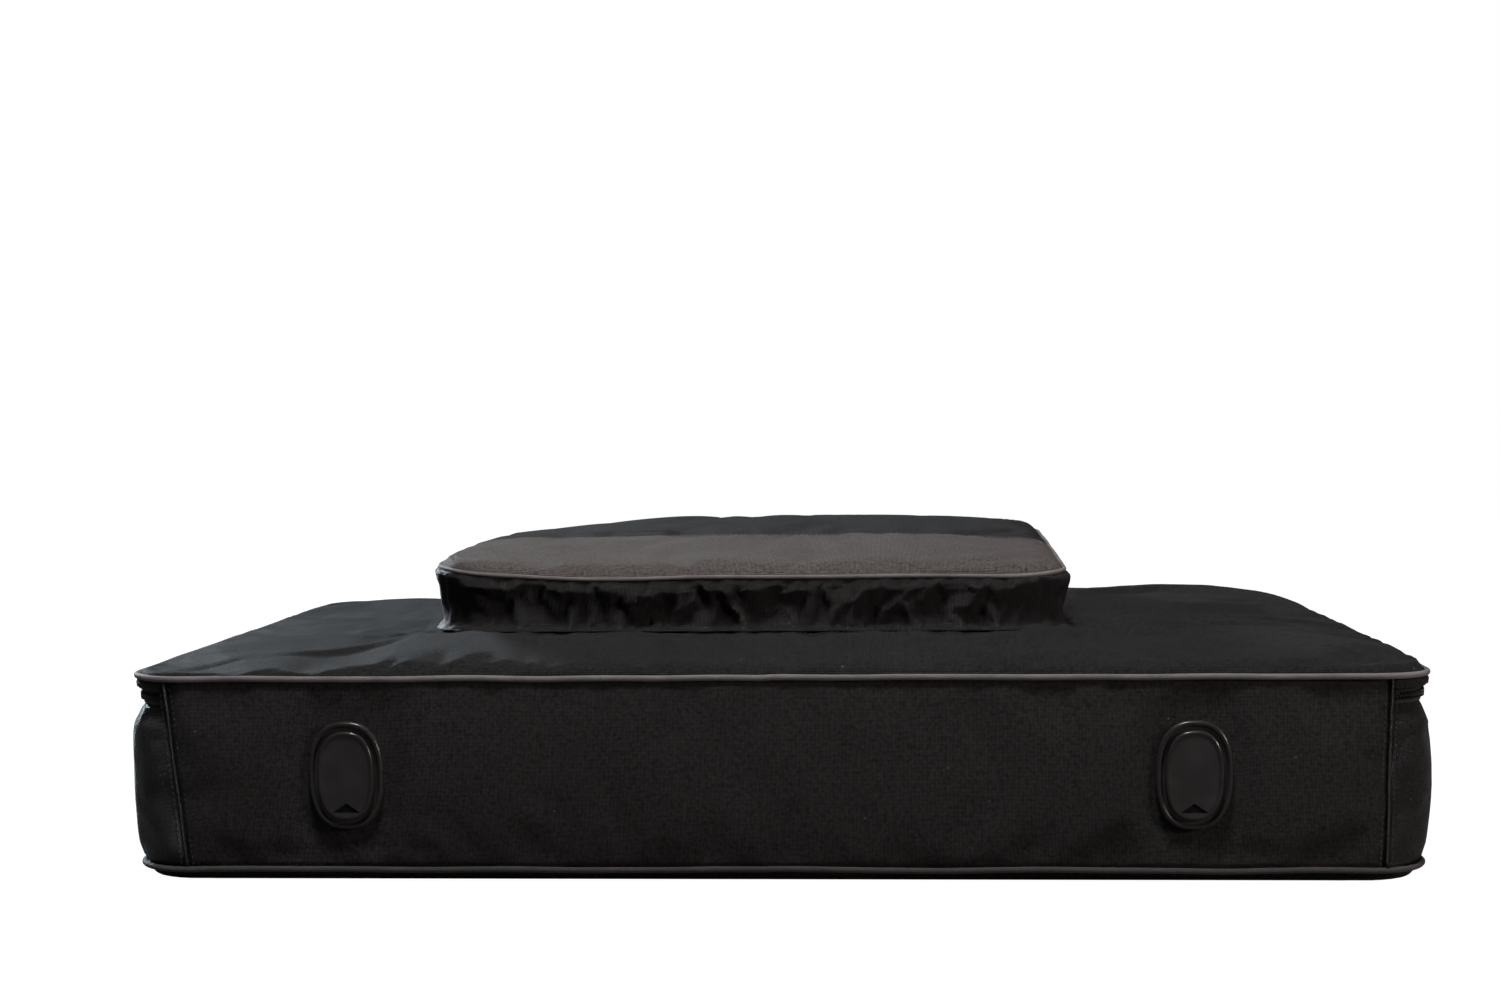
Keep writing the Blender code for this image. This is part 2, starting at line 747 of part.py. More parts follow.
def build_handle(materials):
    """Two sewn anchors, two rectangular rings, and a rolled grip that hangs from them by loops."""
    webbing = materials["webbing"]
    ring_low = HANDLE_PIVOT_Z - RING_DROP
    wall_y = HALF_Y - COVER[0] + GAP
    for side, name in ((-1, "left"), (1, "right")):
        x = side * HANDLE_X
        anchor = sleeve(
            "handle_anchor_" + name, x, HANDLE_PIVOT_Z, 4 * MM, 2.2 * MM, 13 * MM, webbing
        )
        patch = box(
            "patch",
            (x - 17 * MM, wall_y, HANDLE_PIVOT_Z - 28 * MM),
            (x + 17 * MM, wall_y + 2 * MM, HANDLE_PIVOT_Z + 12 * MM),
            webbing,
        )
        neck = box(
            "neck",
            (x - 13 * MM, wall_y + 1 * MM, HANDLE_PIVOT_Z - 3 * MM),
            (x + 13 * MM, HANDLE_PIVOT_Y - 2.8 * MM, HANDLE_PIVOT_Z + 3 * MM),
            webbing,
        )
        boolean(boolean(anchor, neck, "UNION"), patch, "UNION")

        ring = rounded_rectangle(RING_HALF_WIDTH, RING_DROP / 2, 4 * MM)
        middle = Vector((x, HANDLE_PIVOT_Y, HANDLE_PIVOT_Z - RING_DROP / 2))
        path = [middle + Vector((px, 0, py)) for px, py, _ in ring]
        tube("handle_ring_" + name, path, RING_WIRE, materials["metal"], cyclic=True)

        loop = sleeve("handle_loop_" + name, x, ring_low, 3.7 * MM, 2.1 * MM, 12 * MM, webbing)
        tongue = box(
            "tongue",
            (x - 12 * MM, HANDLE_PIVOT_Y - 1.5 * MM, ring_low - 12 * MM),
            (x + 12 * MM, HANDLE_PIVOT_Y + 1.5 * MM, ring_low - 2.6 * MM),
            webbing,
        )
        boolean(loop, tongue, "UNION")

    top = ring_low - 12 * MM - GAP
    low = HANDLE_PIVOT_Z - GRIP_DROP
    bend_z = low + GRIP_BEND
    bend_x = HANDLE_X - GRIP_BEND
    left = arc((-bend_x, bend_z), GRIP_BEND, 180, 270, 6)
    right = arc((bend_x, bend_z), GRIP_BEND, 270, 360, 6)
    path = left + right
    if top > bend_z:
        path = [(-HANDLE_X, top)] + path + [(HANDLE_X, top)]
    points = [(px, HANDLE_PIVOT_Y, pz) for px, pz in path]
    tube("handle_grip", points, GRIP_RADIUS, webbing, sides=12)


# Sliders


def build_slider(name, place, nose, materials, parent):
    """A slider with its link and pull, in the frame whose X runs along the zip and Y out of the wall.

    The two plates are joined by a wedge at the nose and a lip under the lower
    coil. The top edge is open, so that the panel over the zip can lift away.
    """
    metal = materials["metal"]
    half = SLIDER_HALF
    body = box(name + "_slider", (-half, 1.9 * MM, -4.9 * MM), (half, 3.5 * MM, 4.6 * MM), metal)
    wedge_middle = nose * 4 * MM
    pieces = (
        ((-half, -4.6 * MM, -4.3 * MM), (half, -3.2 * MM, 4.3 * MM)),
        ((wedge_middle - 3 * MM, -4 * MM, -0.25 * MM), (wedge_middle + 3 * MM, 2.5 * MM, 0.25 * MM)),
        ((-half, -1.2 * MM, -4.9 * MM), (half, 2.5 * MM, -3.9 * MM)),
        ((-5.6 * MM, 3 * MM, -0.7 * MM), (-4.2 * MM, 7 * MM, 0.7 * MM)),
        ((4.2 * MM, 3 * MM, -0.7 * MM), (5.6 * MM, 7 * MM, 0.7 * MM)),
        ((-5.6 * MM, 6.4 * MM, -0.7 * MM), (5.6 * MM, 7.8 * MM, 0.7 * MM)),
    )
    for low, high in pieces:
        body = boolean(body, box("piece", low, high, metal), "UNION")
    body.parent = parent
    body.matrix_world = place

    bpy.ops.mesh.primitive_torus_add(
        major_radius=LINK_RADIUS,
        minor_radius=LINK_WIRE,
        major_segments=20,
        minor_segments=6,
        rotation=(0, math.pi / 2, 0),
    )
    torus = bpy.context.object
    link_mesh = torus.data
    link_mesh.transform(Matrix.Translation(LINK_CENTRE) @ torus.matrix_world)
    bpy.data.objects.remove(torus)
    smooth(link_mesh, 60)
    link = add(name + "_link", link_mesh, metal, body)
    link.location = BRIDGE
    pull = build_pull(name + "_pull", materials["black_plastic"])
    pull.parent = link
    pull.matrix_world = place @ Matrix.Translation(BRIDGE + LINK_CENTRE - Vector((0, 0, LINK_RADIUS)))


def build_pull(name, plastic):
    """A flat pull with an eye and a thicker grip, hanging from its origin in the XZ plane."""
    top = 2.1 * MM
    foot = arc((2 * MM, 2 * MM - PULL_LENGTH), 2 * MM, -90, 0, 3)
    head = arc((1.2 * MM, top - 1.5 * MM), 1.5 * MM, 0, 90, 3)
    half = foot + [(4 * MM, -7 * MM)] + head
    outline = half + [(-x, y) for x, y in reversed(half)]
    eye = arc((0, -0.6 * MM), 1.5 * MM, 0, 330, 11)
    pull = as_mesh(plate(name, [outline, eye], -0.7 * MM, 0.7 * MM, plastic))
    grip_low = (-3 * MM, 2 * MM - PULL_LENGTH, -1.6 * MM)
    pull = boolean(pull, box("grip", grip_low, (3 * MM, -8 * MM, 1.6 * MM), plastic), "UNION")
    pull.data.transform(pull.matrix_world)
    pull.data.transform(Matrix.Rotation(math.pi / 2, 4, "X"))
    pull.location = (0, 0, 0)
    return pull


def build_sliders(materials, plane):
    """Two sliders that meet in the middle of the main zip, and one at the pocket zip's end."""
    main_zip = Matrix.Translation((0, HALF_Y - COIL_INSET, FRONT_PIPING_Z - ZIP_DROP))
    right_wall = Matrix.Translation((POCKET_HALF_X - COIL_INSET, 0, -ZIP_DROP))
    pocket_zip = plane.matrix_world @ right_wall @ Matrix.Rotation(-math.pi / 2, 4, "Z")
    for name, zip_frame, x, nose, parent in (
        ("main_left", main_zip, -SLIDER_X, 1, None),
        ("main_right", main_zip, SLIDER_X, -1, None),
        ("pocket", pocket_zip, POCKET_SLIDER_X, 1, plane),
    ):
        place = zip_frame @ Matrix.Translation((x, 0, 0))
        build_slider(name, place, nose, materials, parent)


def main():
    clear_scene()
    materials = make_materials()
    build_back_panel(materials)
    build_bottom_wall(materials)
    build_side_walls(materials)
    build_main_zip(materials)
    hinge = build_front_panel(materials)
    plane = build_pocket(materials, hinge)
    for side, x in (("left", FOOT_LEFT_X), ("right", FOOT_RIGHT_X)):
        build_foot(side, x, materials)
    build_handle(materials)
    bpy.context.view_layer.update()
    build_sliders(materials, plane)
    bpy.context.view_layer.update()


main()
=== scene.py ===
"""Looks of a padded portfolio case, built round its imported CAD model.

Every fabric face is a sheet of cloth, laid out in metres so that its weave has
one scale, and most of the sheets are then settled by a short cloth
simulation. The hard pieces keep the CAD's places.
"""

import math

import bmesh
import bpy
import numpy as np
from mathutils import Matrix, Vector, noise


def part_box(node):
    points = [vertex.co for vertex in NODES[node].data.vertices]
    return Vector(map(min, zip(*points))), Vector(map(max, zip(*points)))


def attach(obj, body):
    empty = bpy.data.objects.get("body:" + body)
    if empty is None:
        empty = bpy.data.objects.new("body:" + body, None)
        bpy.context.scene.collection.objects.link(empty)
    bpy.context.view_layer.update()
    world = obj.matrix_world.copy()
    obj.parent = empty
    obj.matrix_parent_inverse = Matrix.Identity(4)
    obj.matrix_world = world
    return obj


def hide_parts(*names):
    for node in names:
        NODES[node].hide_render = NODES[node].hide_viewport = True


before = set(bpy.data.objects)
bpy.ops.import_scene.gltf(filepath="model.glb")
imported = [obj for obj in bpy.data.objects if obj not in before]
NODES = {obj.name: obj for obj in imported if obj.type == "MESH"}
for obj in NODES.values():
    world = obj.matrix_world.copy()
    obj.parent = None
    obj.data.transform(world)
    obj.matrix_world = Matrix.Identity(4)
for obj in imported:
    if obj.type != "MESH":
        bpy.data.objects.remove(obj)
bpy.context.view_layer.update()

# Unseeded, noise_vector follows the clock, and the pipings would wander differently in each run
noise.seed_set(7)

MM = 0.001


def mm(*values):
    """Millimetres as metres."""
    return [value * MM for value in values]


SCENE = bpy.context.scene

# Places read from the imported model
PIPE_LOW, PIPE_HIGH = (Vector(corner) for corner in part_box("front_piping"))
HX = PIPE_HIGH.x - (PIPE_HIGH.z - PIPE_LOW.z) / 2
HY = PIPE_HIGH.y - (PIPE_HIGH.z - PIPE_LOW.z) / 2
PIPE_R = 2.2 * MM
CORNER = 45 * MM
FRONT_Z = (PIPE_HIGH.z + PIPE_LOW.z) / 2
BACK_Z = sum(corner[2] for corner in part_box("back_piping")) / 2
ZIP_DROP = 14.5 * MM
ZIP_Z = FRONT_Z - ZIP_DROP
LID_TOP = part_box("front_cover")[1][2]

POCKET_X, POCKET_Y = -24 * MM, 10 * MM
POCKET_HX, POCKET_HY = 245 * MM, 190 * MM
POCKET_R = 50 * MM
POCKET_NEAR, POCKET_FAR = 209.5 * MM, 230 * MM
POCKET_SLOPE = math.atan((POCKET_FAR - POCKET_NEAR) / (2 * POCKET_HY))
POCKET_PLANE = Matrix.Translation((POCKET_X, POCKET_Y, (POCKET_NEAR + POCKET_FAR) / 2)) @ Matrix.Rotation(
    POCKET_SLOPE, 4, "X"
)
POCKET_PIPE_R = 1.7 * MM
FLAP_Y = -25 * MM
POCKET_ZIP_LOW = -19.7 * MM
PAD_INSET = 1.5 * MM
WALL_THICKNESS = 8.6 * MM
STITCH_R = 0.32 * MM
EDGE_STEPS = mm(0, 2, 4.5, 8, 12, 17)


# Camera, light and floor


CAMERA_PLACE = (0.0725, -1.8872, 0.3324)
CAMERA_YAW, CAMERA_PITCH, CAMERA_ROLL = -2.929, 7.251, -0.486
CAMERA_LENS = 53.79
CAMERA_SHIFT = (-0.00667, 0.1333)
LIGHTS = (
    ("top", (0.1, 0.7, 2.4), (0, 0.1, 0.1), (1.4, 0.6), 10, (1, 0.99, 0.98)),
    ("left", (-3.0, 3.6, 1.5), (0, 0, 0.15), (0.9, 0.6), 112, (0.80, 0.92, 1.0)),
    ("front", (-0.1, -0.9, 2.9), (0, 0, 0.1), (0.6, 0.45), 60, (1.0, 0.97, 0.96)),
    ("right", (2.7, -1.3, 0.85), (0.2, 0, 0.15), (0.35, 0.3), 24, (1.0, 0.85, 0.81)),
)
FLOOR_HALF = 12
FLOOR_GAP = 0.4 * MM


def make_camera():
    """A camera turned by yaw, pitch and roll, with its lens shifted off the middle."""
    yaw, pitch, roll = (math.radians(angle) for angle in (CAMERA_YAW, CAMERA_PITCH, CAMERA_ROLL))
    forward = Vector((math.sin(yaw) * math.cos(pitch), math.cos(yaw) * math.cos(pitch), -math.sin(pitch)))
    right = Vector((math.cos(yaw), -math.sin(yaw), 0))
    up = right.cross(forward)
    tilted = math.cos(roll) * right + math.sin(roll) * up
    up = -math.sin(roll) * right + math.cos(roll) * up
    turn = Matrix((tilted, up, -forward)).transposed().to_4x4()
    data = bpy.data.cameras.new("camera")
    data.lens = CAMERA_LENS
    data.sensor_width = 36
    data.shift_x, data.shift_y = CAMERA_SHIFT
    data.clip_start = 0.05
    camera = bpy.data.objects.new("camera", data)
    camera.matrix_world = Matrix.Translation(CAMERA_PLACE) @ turn
    SCENE.collection.objects.link(camera)
    SCENE.camera = camera


def area_light(name, place, target, size, power, colour):
    data = bpy.data.lights.new(name, "AREA")
    data.shape = "RECTANGLE"
    data.size, data.size_y = size
    data.energy = power
    data.color = colour
    light = bpy.data.objects.new(name, data)
    aim = Vector(target) - Vector(place)
    light.matrix_world = Matrix.Translation(place) @ aim.to_track_quat("-Z", "Y").to_matrix().to_4x4()
    SCENE.collection.objects.link(light)


def make_studio():
    """A white surround that the camera sees, and much weaker light on the object, mostly from above."""
    SCENE.view_settings.view_transform = "Standard"
    world = bpy.data.worlds.new("studio")
    SCENE.world = world
    world.use_nodes = True
    tree = world.node_tree
    seen = tree.nodes["Background"]
    seen.inputs["Color"].default_value = (1, 1, 1, 1)
    seen.inputs["Strength"].default_value = 1.0
    lighting = tree.nodes.new("ShaderNodeBackground")
    lighting.inputs["Color"].default_value = (1.0, 0.98, 0.97, 1)
    lighting.inputs["Strength"].default_value = 0.045
    path = tree.nodes.new("ShaderNodeLightPath")
    either = tree.nodes.new("ShaderNodeMixShader")
    tree.links.new(path.outputs["Is Camera Ray"], either.inputs[0])
    tree.links.new(lighting.outputs[0], either.inputs[1])
    tree.links.new(seen.outputs[0], either.inputs[2])
    tree.links.new(either.outputs[0], tree.nodes["World Output"].inputs["Surface"])
    for light in LIGHTS:
        area_light(*light)


def make_floor():
    """A wide plane just under the object."""
    floor = bpy.data.meshes.new("floor")
    bm = bmesh.new()
    bmesh.ops.create_grid(bm, x_segments=8, y_segments=8, size=FLOOR_HALF)
    bmesh.ops.translate(bm, vec=(0, 0, -FLOOR_GAP), verts=bm.verts)
    bm.to_mesh(floor)
    bm.free()
    ground = bpy.data.objects.new("floor", floor)
    SCENE.collection.objects.link(ground)
    floor.materials.append(floor_paint())


def floor_paint():
    """A pale floor that glows white to the camera and throws little light back up."""
    material, tree, shader = new_material("floor_paint")
    shader.inputs["Base Color"].default_value = (0.10, 0.10, 0.10, 1)
    shader.inputs["Roughness"].default_value = 0.8
    shader.inputs["Emission Color"].default_value = (1, 1, 1, 1)
    path = tree.nodes.new("ShaderNodeLightPath")
    glow = Nodes(tree).math("MULTIPLY", path.outputs["Is Camera Ray"], 0.99)
    tree.links.new(glow, shader.inputs["Emission Strength"])
    return material


# Materials


def new_material(name):
    material = bpy.data.materials.new(name)
    material.use_nodes = True
    tree = material.node_tree
    return material, tree, tree.nodes["Principled BSDF"]


class Nodes:
    """Short words for the nodes of one material."""

    def __init__(self, tree):
        self.tree = tree

    def set(self, socket, value):
        if isinstance(value, bpy.types.NodeSocket):
            self.tree.links.new(value, socket)
        else:
            socket.default_value = value

    def add(self, kind, *values, **named):
        """A new node, with its inputs set in order or by name."""
        node = self.tree.nodes.new("ShaderNode" + kind)
        for socket, value in zip(node.inputs, values):
            self.set(socket, value)
        for name, value in named.items():
            self.set(node.inputs[name], value)
        return node

    def math(self, operation, *values):
        node = self.add("Math", *values)
        node.operation = operation
        return node.outputs[0]

    def times(self, *values):
        return self.math("MULTIPLY", *values)

    def noise(self, vector, scale, detail=2.0, roughness=0.5):
        node = self.add("TexNoise", Vector=vector, Scale=scale, Detail=detail, Roughness=roughness)
        return node.outputs["Fac"]

    def ramp(self, value, low, high, out_low=0.0, out_high=1.0):
        return self.add("MapRange", value, low, high, out_low, out_high).outputs[0]

    def mix(self, factor, first, second):
        node = self.add("Mix", factor)
        node.data_type = "RGBA"
        for socket, colour in ((node.inputs[6], first), (node.inputs[7], second)):
            self.set(socket, (*colour, 1) if isinstance(colour, tuple) else colour)
        return node.outputs[2]

    def bump(self, height, strength, distance, **named):
        return self.add("Bump", Strength=strength, Distance=distance, Height=height, **named).outputs[0]

    def coordinates(self, kind):
        return self.add("TexCoord").outputs[kind]

    def split(self, vector):
        return self.add("SeparateXYZ", vector).outputs


def weave(n, uv, pitch, turned=False):
    """Height of a plain weave, from 0 to 1, and how much it is the warp thread that lies on top."""
    u, v, _ = n.split(uv)
    if turned:
        u, v = n.math("ADD", u, v), n.math("SUBTRACT", u, v)
    u, v = (n.times(along, 1 / pitch) for along in (u, v))
    warp, weft = (n.math("ABSOLUTE", n.math("SINE", n.times(along, math.pi))) for along in (u, v))
    parity = n.math("ADD", n.math("FLOOR", u), n.math("FLOOR", v))
    over = n.math("GREATER_THAN", n.math("FLOORED_MODULO", parity, 2.0), 0.5)
    under = n.math("SUBTRACT", 1.0, over)
    height = n.math(
        "ADD",
        n.times(over, n.times(warp, n.math("POWER", weft, 0.5))),
        n.times(under, n.times(weft, n.math("POWER", warp, 0.5))),
    )
    return height, over


def fabric(
    name, dark, light, pitch=0.95 * MM, roughness=0.6, sheen=0.0, specular=0.35,
    depth=0.45, lint=0.5, mottle=0.65,
):
    """Woven nylon between a dark and a light colour: a slow drift of tone, small wrinkles and a little lint,
    with painted shade in the hollows between threads and painted highlights on the thread tops and on the
    warp threads that lie on top.
    """
    material, tree, shader = new_material(name)
    n = Nodes(tree)
    uv, place = n.coordinates("UV"), n.coordinates("Object")
    height, over = weave(n, uv, pitch)
    drift = n.noise(place, 7, 4, 0.55)
    thread = n.noise(uv, 420, 3, 0.7)
    patches = n.noise(place, 330, 3, 0.8)
    # The weave's height sets the tone: painted shade in the hollows between threads, painted highlight on the
    # thread tops.
    tone = n.times(n.ramp(height, 0.15, 1.0, 0.02, 1.25), n.ramp(drift, 0.3, 0.7, 0.7, 1.2))
    tone = n.times(tone, n.ramp(thread, 0.32, 0.68, 0.35, 1.55))
    # Painted highlight: the warp threads that lie on top are lighter than the weft threads.
    tone = n.times(tone, n.ramp(over, 0.0, 1.0, 0.60, 1.15))
    tone = n.times(tone, n.ramp(patches, 0.38, 0.62, 1.05 - mottle, 1.05 + mottle))
    colour = n.mix(tone, dark, light)
    if lint:
        specks = n.add("TexVoronoi", Vector=uv, Scale=13)
        specks.voronoi_dimensions = "2D"
        some, _, _ = n.split(specks.outputs["Color"])
        dot = n.ramp(specks.outputs["Distance"], 0.005, 0.010, lint, 0.0)
        dot = n.times(dot, n.math("GREATER_THAN", some, 0.62))
        colour = n.mix(dot, colour, (0.34, 0.34, 0.32))
    n.set(shader.inputs["Base Color"], colour)
    n.set(shader.inputs["Roughness"], n.ramp(thread, 0.3, 0.7, roughness - 0.12, roughness + 0.12))
    shader.inputs["Specular IOR Level"].default_value = specular
    shader.inputs["Sheen Weight"].default_value = sheen
    shader.inputs["Sheen Roughness"].default_value = 0.5
    crumple = n.bump(n.noise(place, 45, 4, 0.6), 0.16, 2.0 * MM)
    n.set(shader.inputs["Normal"], n.bump(height, 1.0, depth * MM, Normal=crumple))
    return material


def webbing_material(name, dark, light, pitch=0.9 * MM):
    """Ribbed tape with rows of threads along its length, with painted shade in the hollows between the
    threads.
    """
    material, tree, shader = new_material(name)
    n = Nodes(tree)
    uv, place = n.coordinates("UV"), n.coordinates("Object")
    height, _ = weave(n, uv, pitch, turned=True)
    drift = n.noise(place, 40, 3)
    # The weave's height sets the tone: painted shade in the hollows between threads.
    tone = n.times(n.ramp(height, 0, 1, 0.2, 1.0), n.ramp(drift, 0.3, 0.7, 0.7, 1.2))
    n.set(shader.inputs["Base Color"], n.mix(tone, dark, light))
    shader.inputs["Roughness"].default_value = 0.55
    shader.inputs["Sheen Weight"].default_value = 0.15
    n.set(shader.inputs["Normal"], n.bump(height, 0.8, 0.3 * MM))
    return material


def moulded(name, colour, roughness, grain=0.4):
    """Moulded plastic with a fine grain and lighter patches here and there."""
    material, tree, shader = new_material(name)
    n = Nodes(tree)
    place = n.coordinates("Object")
    fine = n.noise(place, 1800, 2)
    slow = n.noise(place, 60, 4)
    worn = tuple(min(1.0, c * 1.3 + 0.001) for c in colour)
    n.set(shader.inputs["Base Color"], n.mix(n.ramp(slow, 0.45, 0.75), colour, worn))
    n.set(shader.inputs["Roughness"], n.ramp(slow, 0.3, 0.7, roughness - 0.06, roughness + 0.10))
    n.set(shader.inputs["Normal"], n.bump(fine, grain, 0.06 * MM))
    return material


def metal(name, colour, roughness):
    """Plated metal with fine scratches."""
    material, tree, shader = new_material(name)
    n = Nodes(tree)
    place = n.coordinates("Object")
    slow = n.noise(place, 90, 4)
    fine = n.noise(place, 900, 3)
    dull = tuple(c * 0.6 for c in colour)
    n.set(shader.inputs["Base Color"], n.mix(n.ramp(slow, 0.35, 0.7), colour, dull))
    shader.inputs["Metallic"].default_value = 1.0
    n.set(shader.inputs["Roughness"], n.ramp(slow, 0.3, 0.7, roughness - 0.05, roughness + 0.12))
    n.set(shader.inputs["Normal"], n.bump(fine, 0.2, 0.05 * MM))
    return material


MATERIALS = {
    # The lid, wall, side, gusset and flap are one black fabric. Their different lightness is painted light
    # and shade for how each face is lit: the near wall and the flap are painted lighter than the lid, the
    # side walls and the gusset darker.
    "lid": fabric(
        "lid_fabric", (0.0010, 0.0011, 0.0013), (0.036, 0.037, 0.039), roughness=0.70, specular=0.22
    ),
    "wall": fabric(
        "wall_fabric", (0.0010, 0.0009, 0.0009), (0.050, 0.046, 0.046), sheen=0.03, specular=0.22, mottle=0.8
    ),
    "side": fabric("side_fabric", (0.001, 0.001, 0.001), (0.018, 0.016, 0.016), roughness=0.34, specular=0.7),
    "gusset": fabric(
        "gusset_fabric", (0.0006, 0.0006, 0.0006), (0.020, 0.019, 0.019), 1.0 * MM, 0.50, specular=0.44
    ),
    "grey": fabric(
        "grey_fabric", (0.012, 0.010, 0.009), (0.262, 0.236, 0.230), 1.0 * MM, specular=0.15, mottle=0.30
    ),
    "flap": fabric("flap_fabric", (0.002, 0.002, 0.0025), (0.050, 0.051, 0.054), specular=0.2),
    "lining": fabric(
        "lining_fabric", (0.012, 0.012, 0.013), (0.040, 0.040, 0.044), 0.5 * MM, 0.7, 0.05, 0.3, 0.1, lint=0
    ),
    "piping": webbing_material("piping_fabric", (0.020, 0.018, 0.018), (0.36, 0.33, 0.33), 0.8 * MM),
    # A darker copy of the piping for the back edge: painted shade, since that piping lies in the bulging
    # wall's shade.
    "shaded_piping": webbing_material(
        "shaded_piping_fabric", (0.004, 0.004, 0.004), (0.075, 0.068, 0.068), 0.8 * MM
    ),
    "webbing": webbing_material("webbing_fabric", (0.003, 0.003, 0.003), (0.022, 0.022, 0.022)),
    "tape": webbing_material("tape_fabric", (0.003, 0.003, 0.003), (0.016, 0.016, 0.016), 0.6 * MM),
    "thread": webbing_material("thread", (0.006, 0.006, 0.006), (0.045, 0.043, 0.043), 0.4 * MM),
    "coil": moulded("coil_nylon", (0.006, 0.006, 0.006), 0.35),
    "plastic": moulded("foot_plastic", (0.034, 0.033, 0.033), 0.42),
    "gloss": moulded("foot_rim_plastic", (0.030, 0.027, 0.027), 0.24, 0.1),
    # Painted shade: the recess is coloured far darker than the cap's plastic.
    "recess": moulded("foot_recess_painted_shade", (0.002, 0.002, 0.002), 0.9),
    "metal": metal("nickel", (0.34, 0.34, 0.35), 0.3),
}


# Outlines


class Ring:
    """A rounded rectangle in the XY plane, walked anticlockwise from the middle of its near side."""

    def __init__(self, half_x, half_y, radius):
        self.x, self.y, self.r = half_x - radius, half_y - radius, radius
        quarter = math.pi / 2 * radius
        side, end = 2 * self.y, 2 * self.x
        self.lengths = [self.x, quarter, side, quarter, end, quarter, side, quarter, self.x]
        self.length = sum(self.lengths)

    def at(self, s, inset=0.0):
        """The place at this length along the ring, this far inside it, and the outward direction."""
        s %= self.length
        index = 0
        while s > self.lengths[index] and index < 8:
            s -= self.lengths[index]
            index += 1
        x, y, r = self.x, self.y, self.r
        if index % 2:
            centre = ((x, -y), (x, y), (-x, y), (-x, -y))[index // 2]
            angle = -math.pi / 2 + index // 2 * math.pi / 2 + s / r
            normal = Vector((math.cos(angle), math.sin(angle), 0))
            return Vector((*centre, 0)) + normal * (r - inset), normal
        normal = Vector(((0, -1, 0), (1, 0, 0), (0, 1, 0), (-1, 0, 0), (0, -1, 0))[index // 2])
        start = (
            Vector((0, -y - r, 0)),
            Vector((x + r, -y, 0)),
            Vector((x, y + r, 0)),
            Vector((-x - r, y, 0)),
            Vector((-x, -y - r, 0)),
        )[index // 2]
        along = Vector((-normal.y, normal.x, 0))
        return start + along * s - normal * inset, normal

    def depth(self, x, y):
        """How far a point lies inside the ring."""
        qx, qy = abs(x) - self.x, abs(y) - self.y
        outside = math.hypot(max(qx, 0), max(qy, 0))
        return self.r - outside - min(max(qx, qy), 0)

    def snap(self, x, y, inset):
        """The closest point on the ring at this inset, for a point near it."""
        qx, qy = abs(x) - self.x, abs(y) - self.y
        if qx > 0 and qy > 0:
            scale = (self.r - inset) / math.hypot(qx, qy)
            qx, qy = qx * scale, qy * scale
        elif qx > qy:
            qx = self.r - inset
        else:
            qy = self.r - inset
        return math.copysign(self.x + qx, x), math.copysign(self.y + qy, y)


CASE_RING = Ring(HX, HY, CORNER)
POCKET_RING = Ring(POCKET_HX, POCKET_HY, POCKET_R)
# How far along the pocket's ring, from the middle of its near side, the flap's line meets it
POCKET_SIDE = POCKET_RING.x + math.pi / 2 * POCKET_R + POCKET_RING.y + FLAP_Y
POCKET_REST = POCKET_RING.length - POCKET_SIDE


# Meshes


def mesh_object(name, points, faces, uvs, materials, slots=None):
    """An object from points, faces and a UV for each corner of each face."""
    mesh = bpy.data.meshes.new(name)
    mesh.from_pydata([tuple(p) for p in points], [], faces)
    layer = mesh.uv_layers.new(name="metres")
    layer.data.foreach_set("uv", np.array(uvs, np.float32).ravel())
    for material in materials:
        mesh.materials.append(MATERIALS[material])
    if slots is not None:
        mesh.polygons.foreach_set("material_index", np.array(slots, np.int32))
    mesh.shade_smooth()
    obj = bpy.data.objects.new(name, mesh)
    SCENE.collection.objects.link(obj)
    return obj


def quads(count_u, count_v, wrap_u=False, wrap_v=False, start=0):
    """Quads of a grid, and the grid step of each corner."""
    faces, corners = [], []
    for i in range(count_u if wrap_u else count_u - 1):
        for j in range(count_v if wrap_v else count_v - 1):
            steps = ((i, j), (i + 1, j), (i + 1, j + 1), (i, j + 1))
            faces.append([start + (a % count_u) * count_v + b % count_v for a, b in steps])
            corners.append(steps)
    return faces, corners


def cloth_grid(name, count_u, count_v, place, uv, materials):
    """A sheet of count_u by count_v points; place and uv take both steps, from 0 to 1."""
    points = [place(i / (count_u - 1), j / (count_v - 1)) for i in range(count_u) for j in range(count_v)]
    faces, corners = quads(count_u, count_v)
    marks = [uv(i / (count_u - 1), j / (count_v - 1)) for i in range(count_u) for j in range(count_v)]
    uvs = [marks[a * count_v + b] for face in corners for a, b in face]
    obj = mesh_object(name, points, faces, uvs, materials)
    obj["grid"] = [count_u, count_v]
    return obj


def sweep(name, stations, profile, material, closed=True):
    """A closed profile carried along stations, each a (place, outward, upward) of the path.

    UV runs in metres, along the path and round the profile. An open path gets flat ends.
    """
    count_u, count_v = len(stations), len(profile)
    points = [place + out * a + up * b for place, out, up in stations for a, b in profile]
    faces, corners = quads(count_u, count_v, closed, True)
    places = [station[0] for station in stations]
    lengths = np.cumsum([0.0] + [(b - a).length for a, b in zip(places, places[1:] + places[:1])])
    girth = np.cumsum([0.0] + [math.dist(a, b) for a, b in zip(profile, profile[1:] + profile[:1])])
    uvs = [(lengths[a], girth[b]) for face in corners for a, b in face]
    if not closed:
        for first in (0, (count_u - 1) * count_v):
            faces.append(list(range(first, first + count_v)))
            uvs += profile
    obj = mesh_object(name, points, faces, uvs, [material])
    outwards(obj)
    return obj


def place_piece(obj, body, slot, *nodes):
    """Says which body a finished piece rides on and hides the CAD nodes that it stands for. The slot is not
    used.
    """
    if nodes:
        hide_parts(*nodes)
    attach(obj, body)


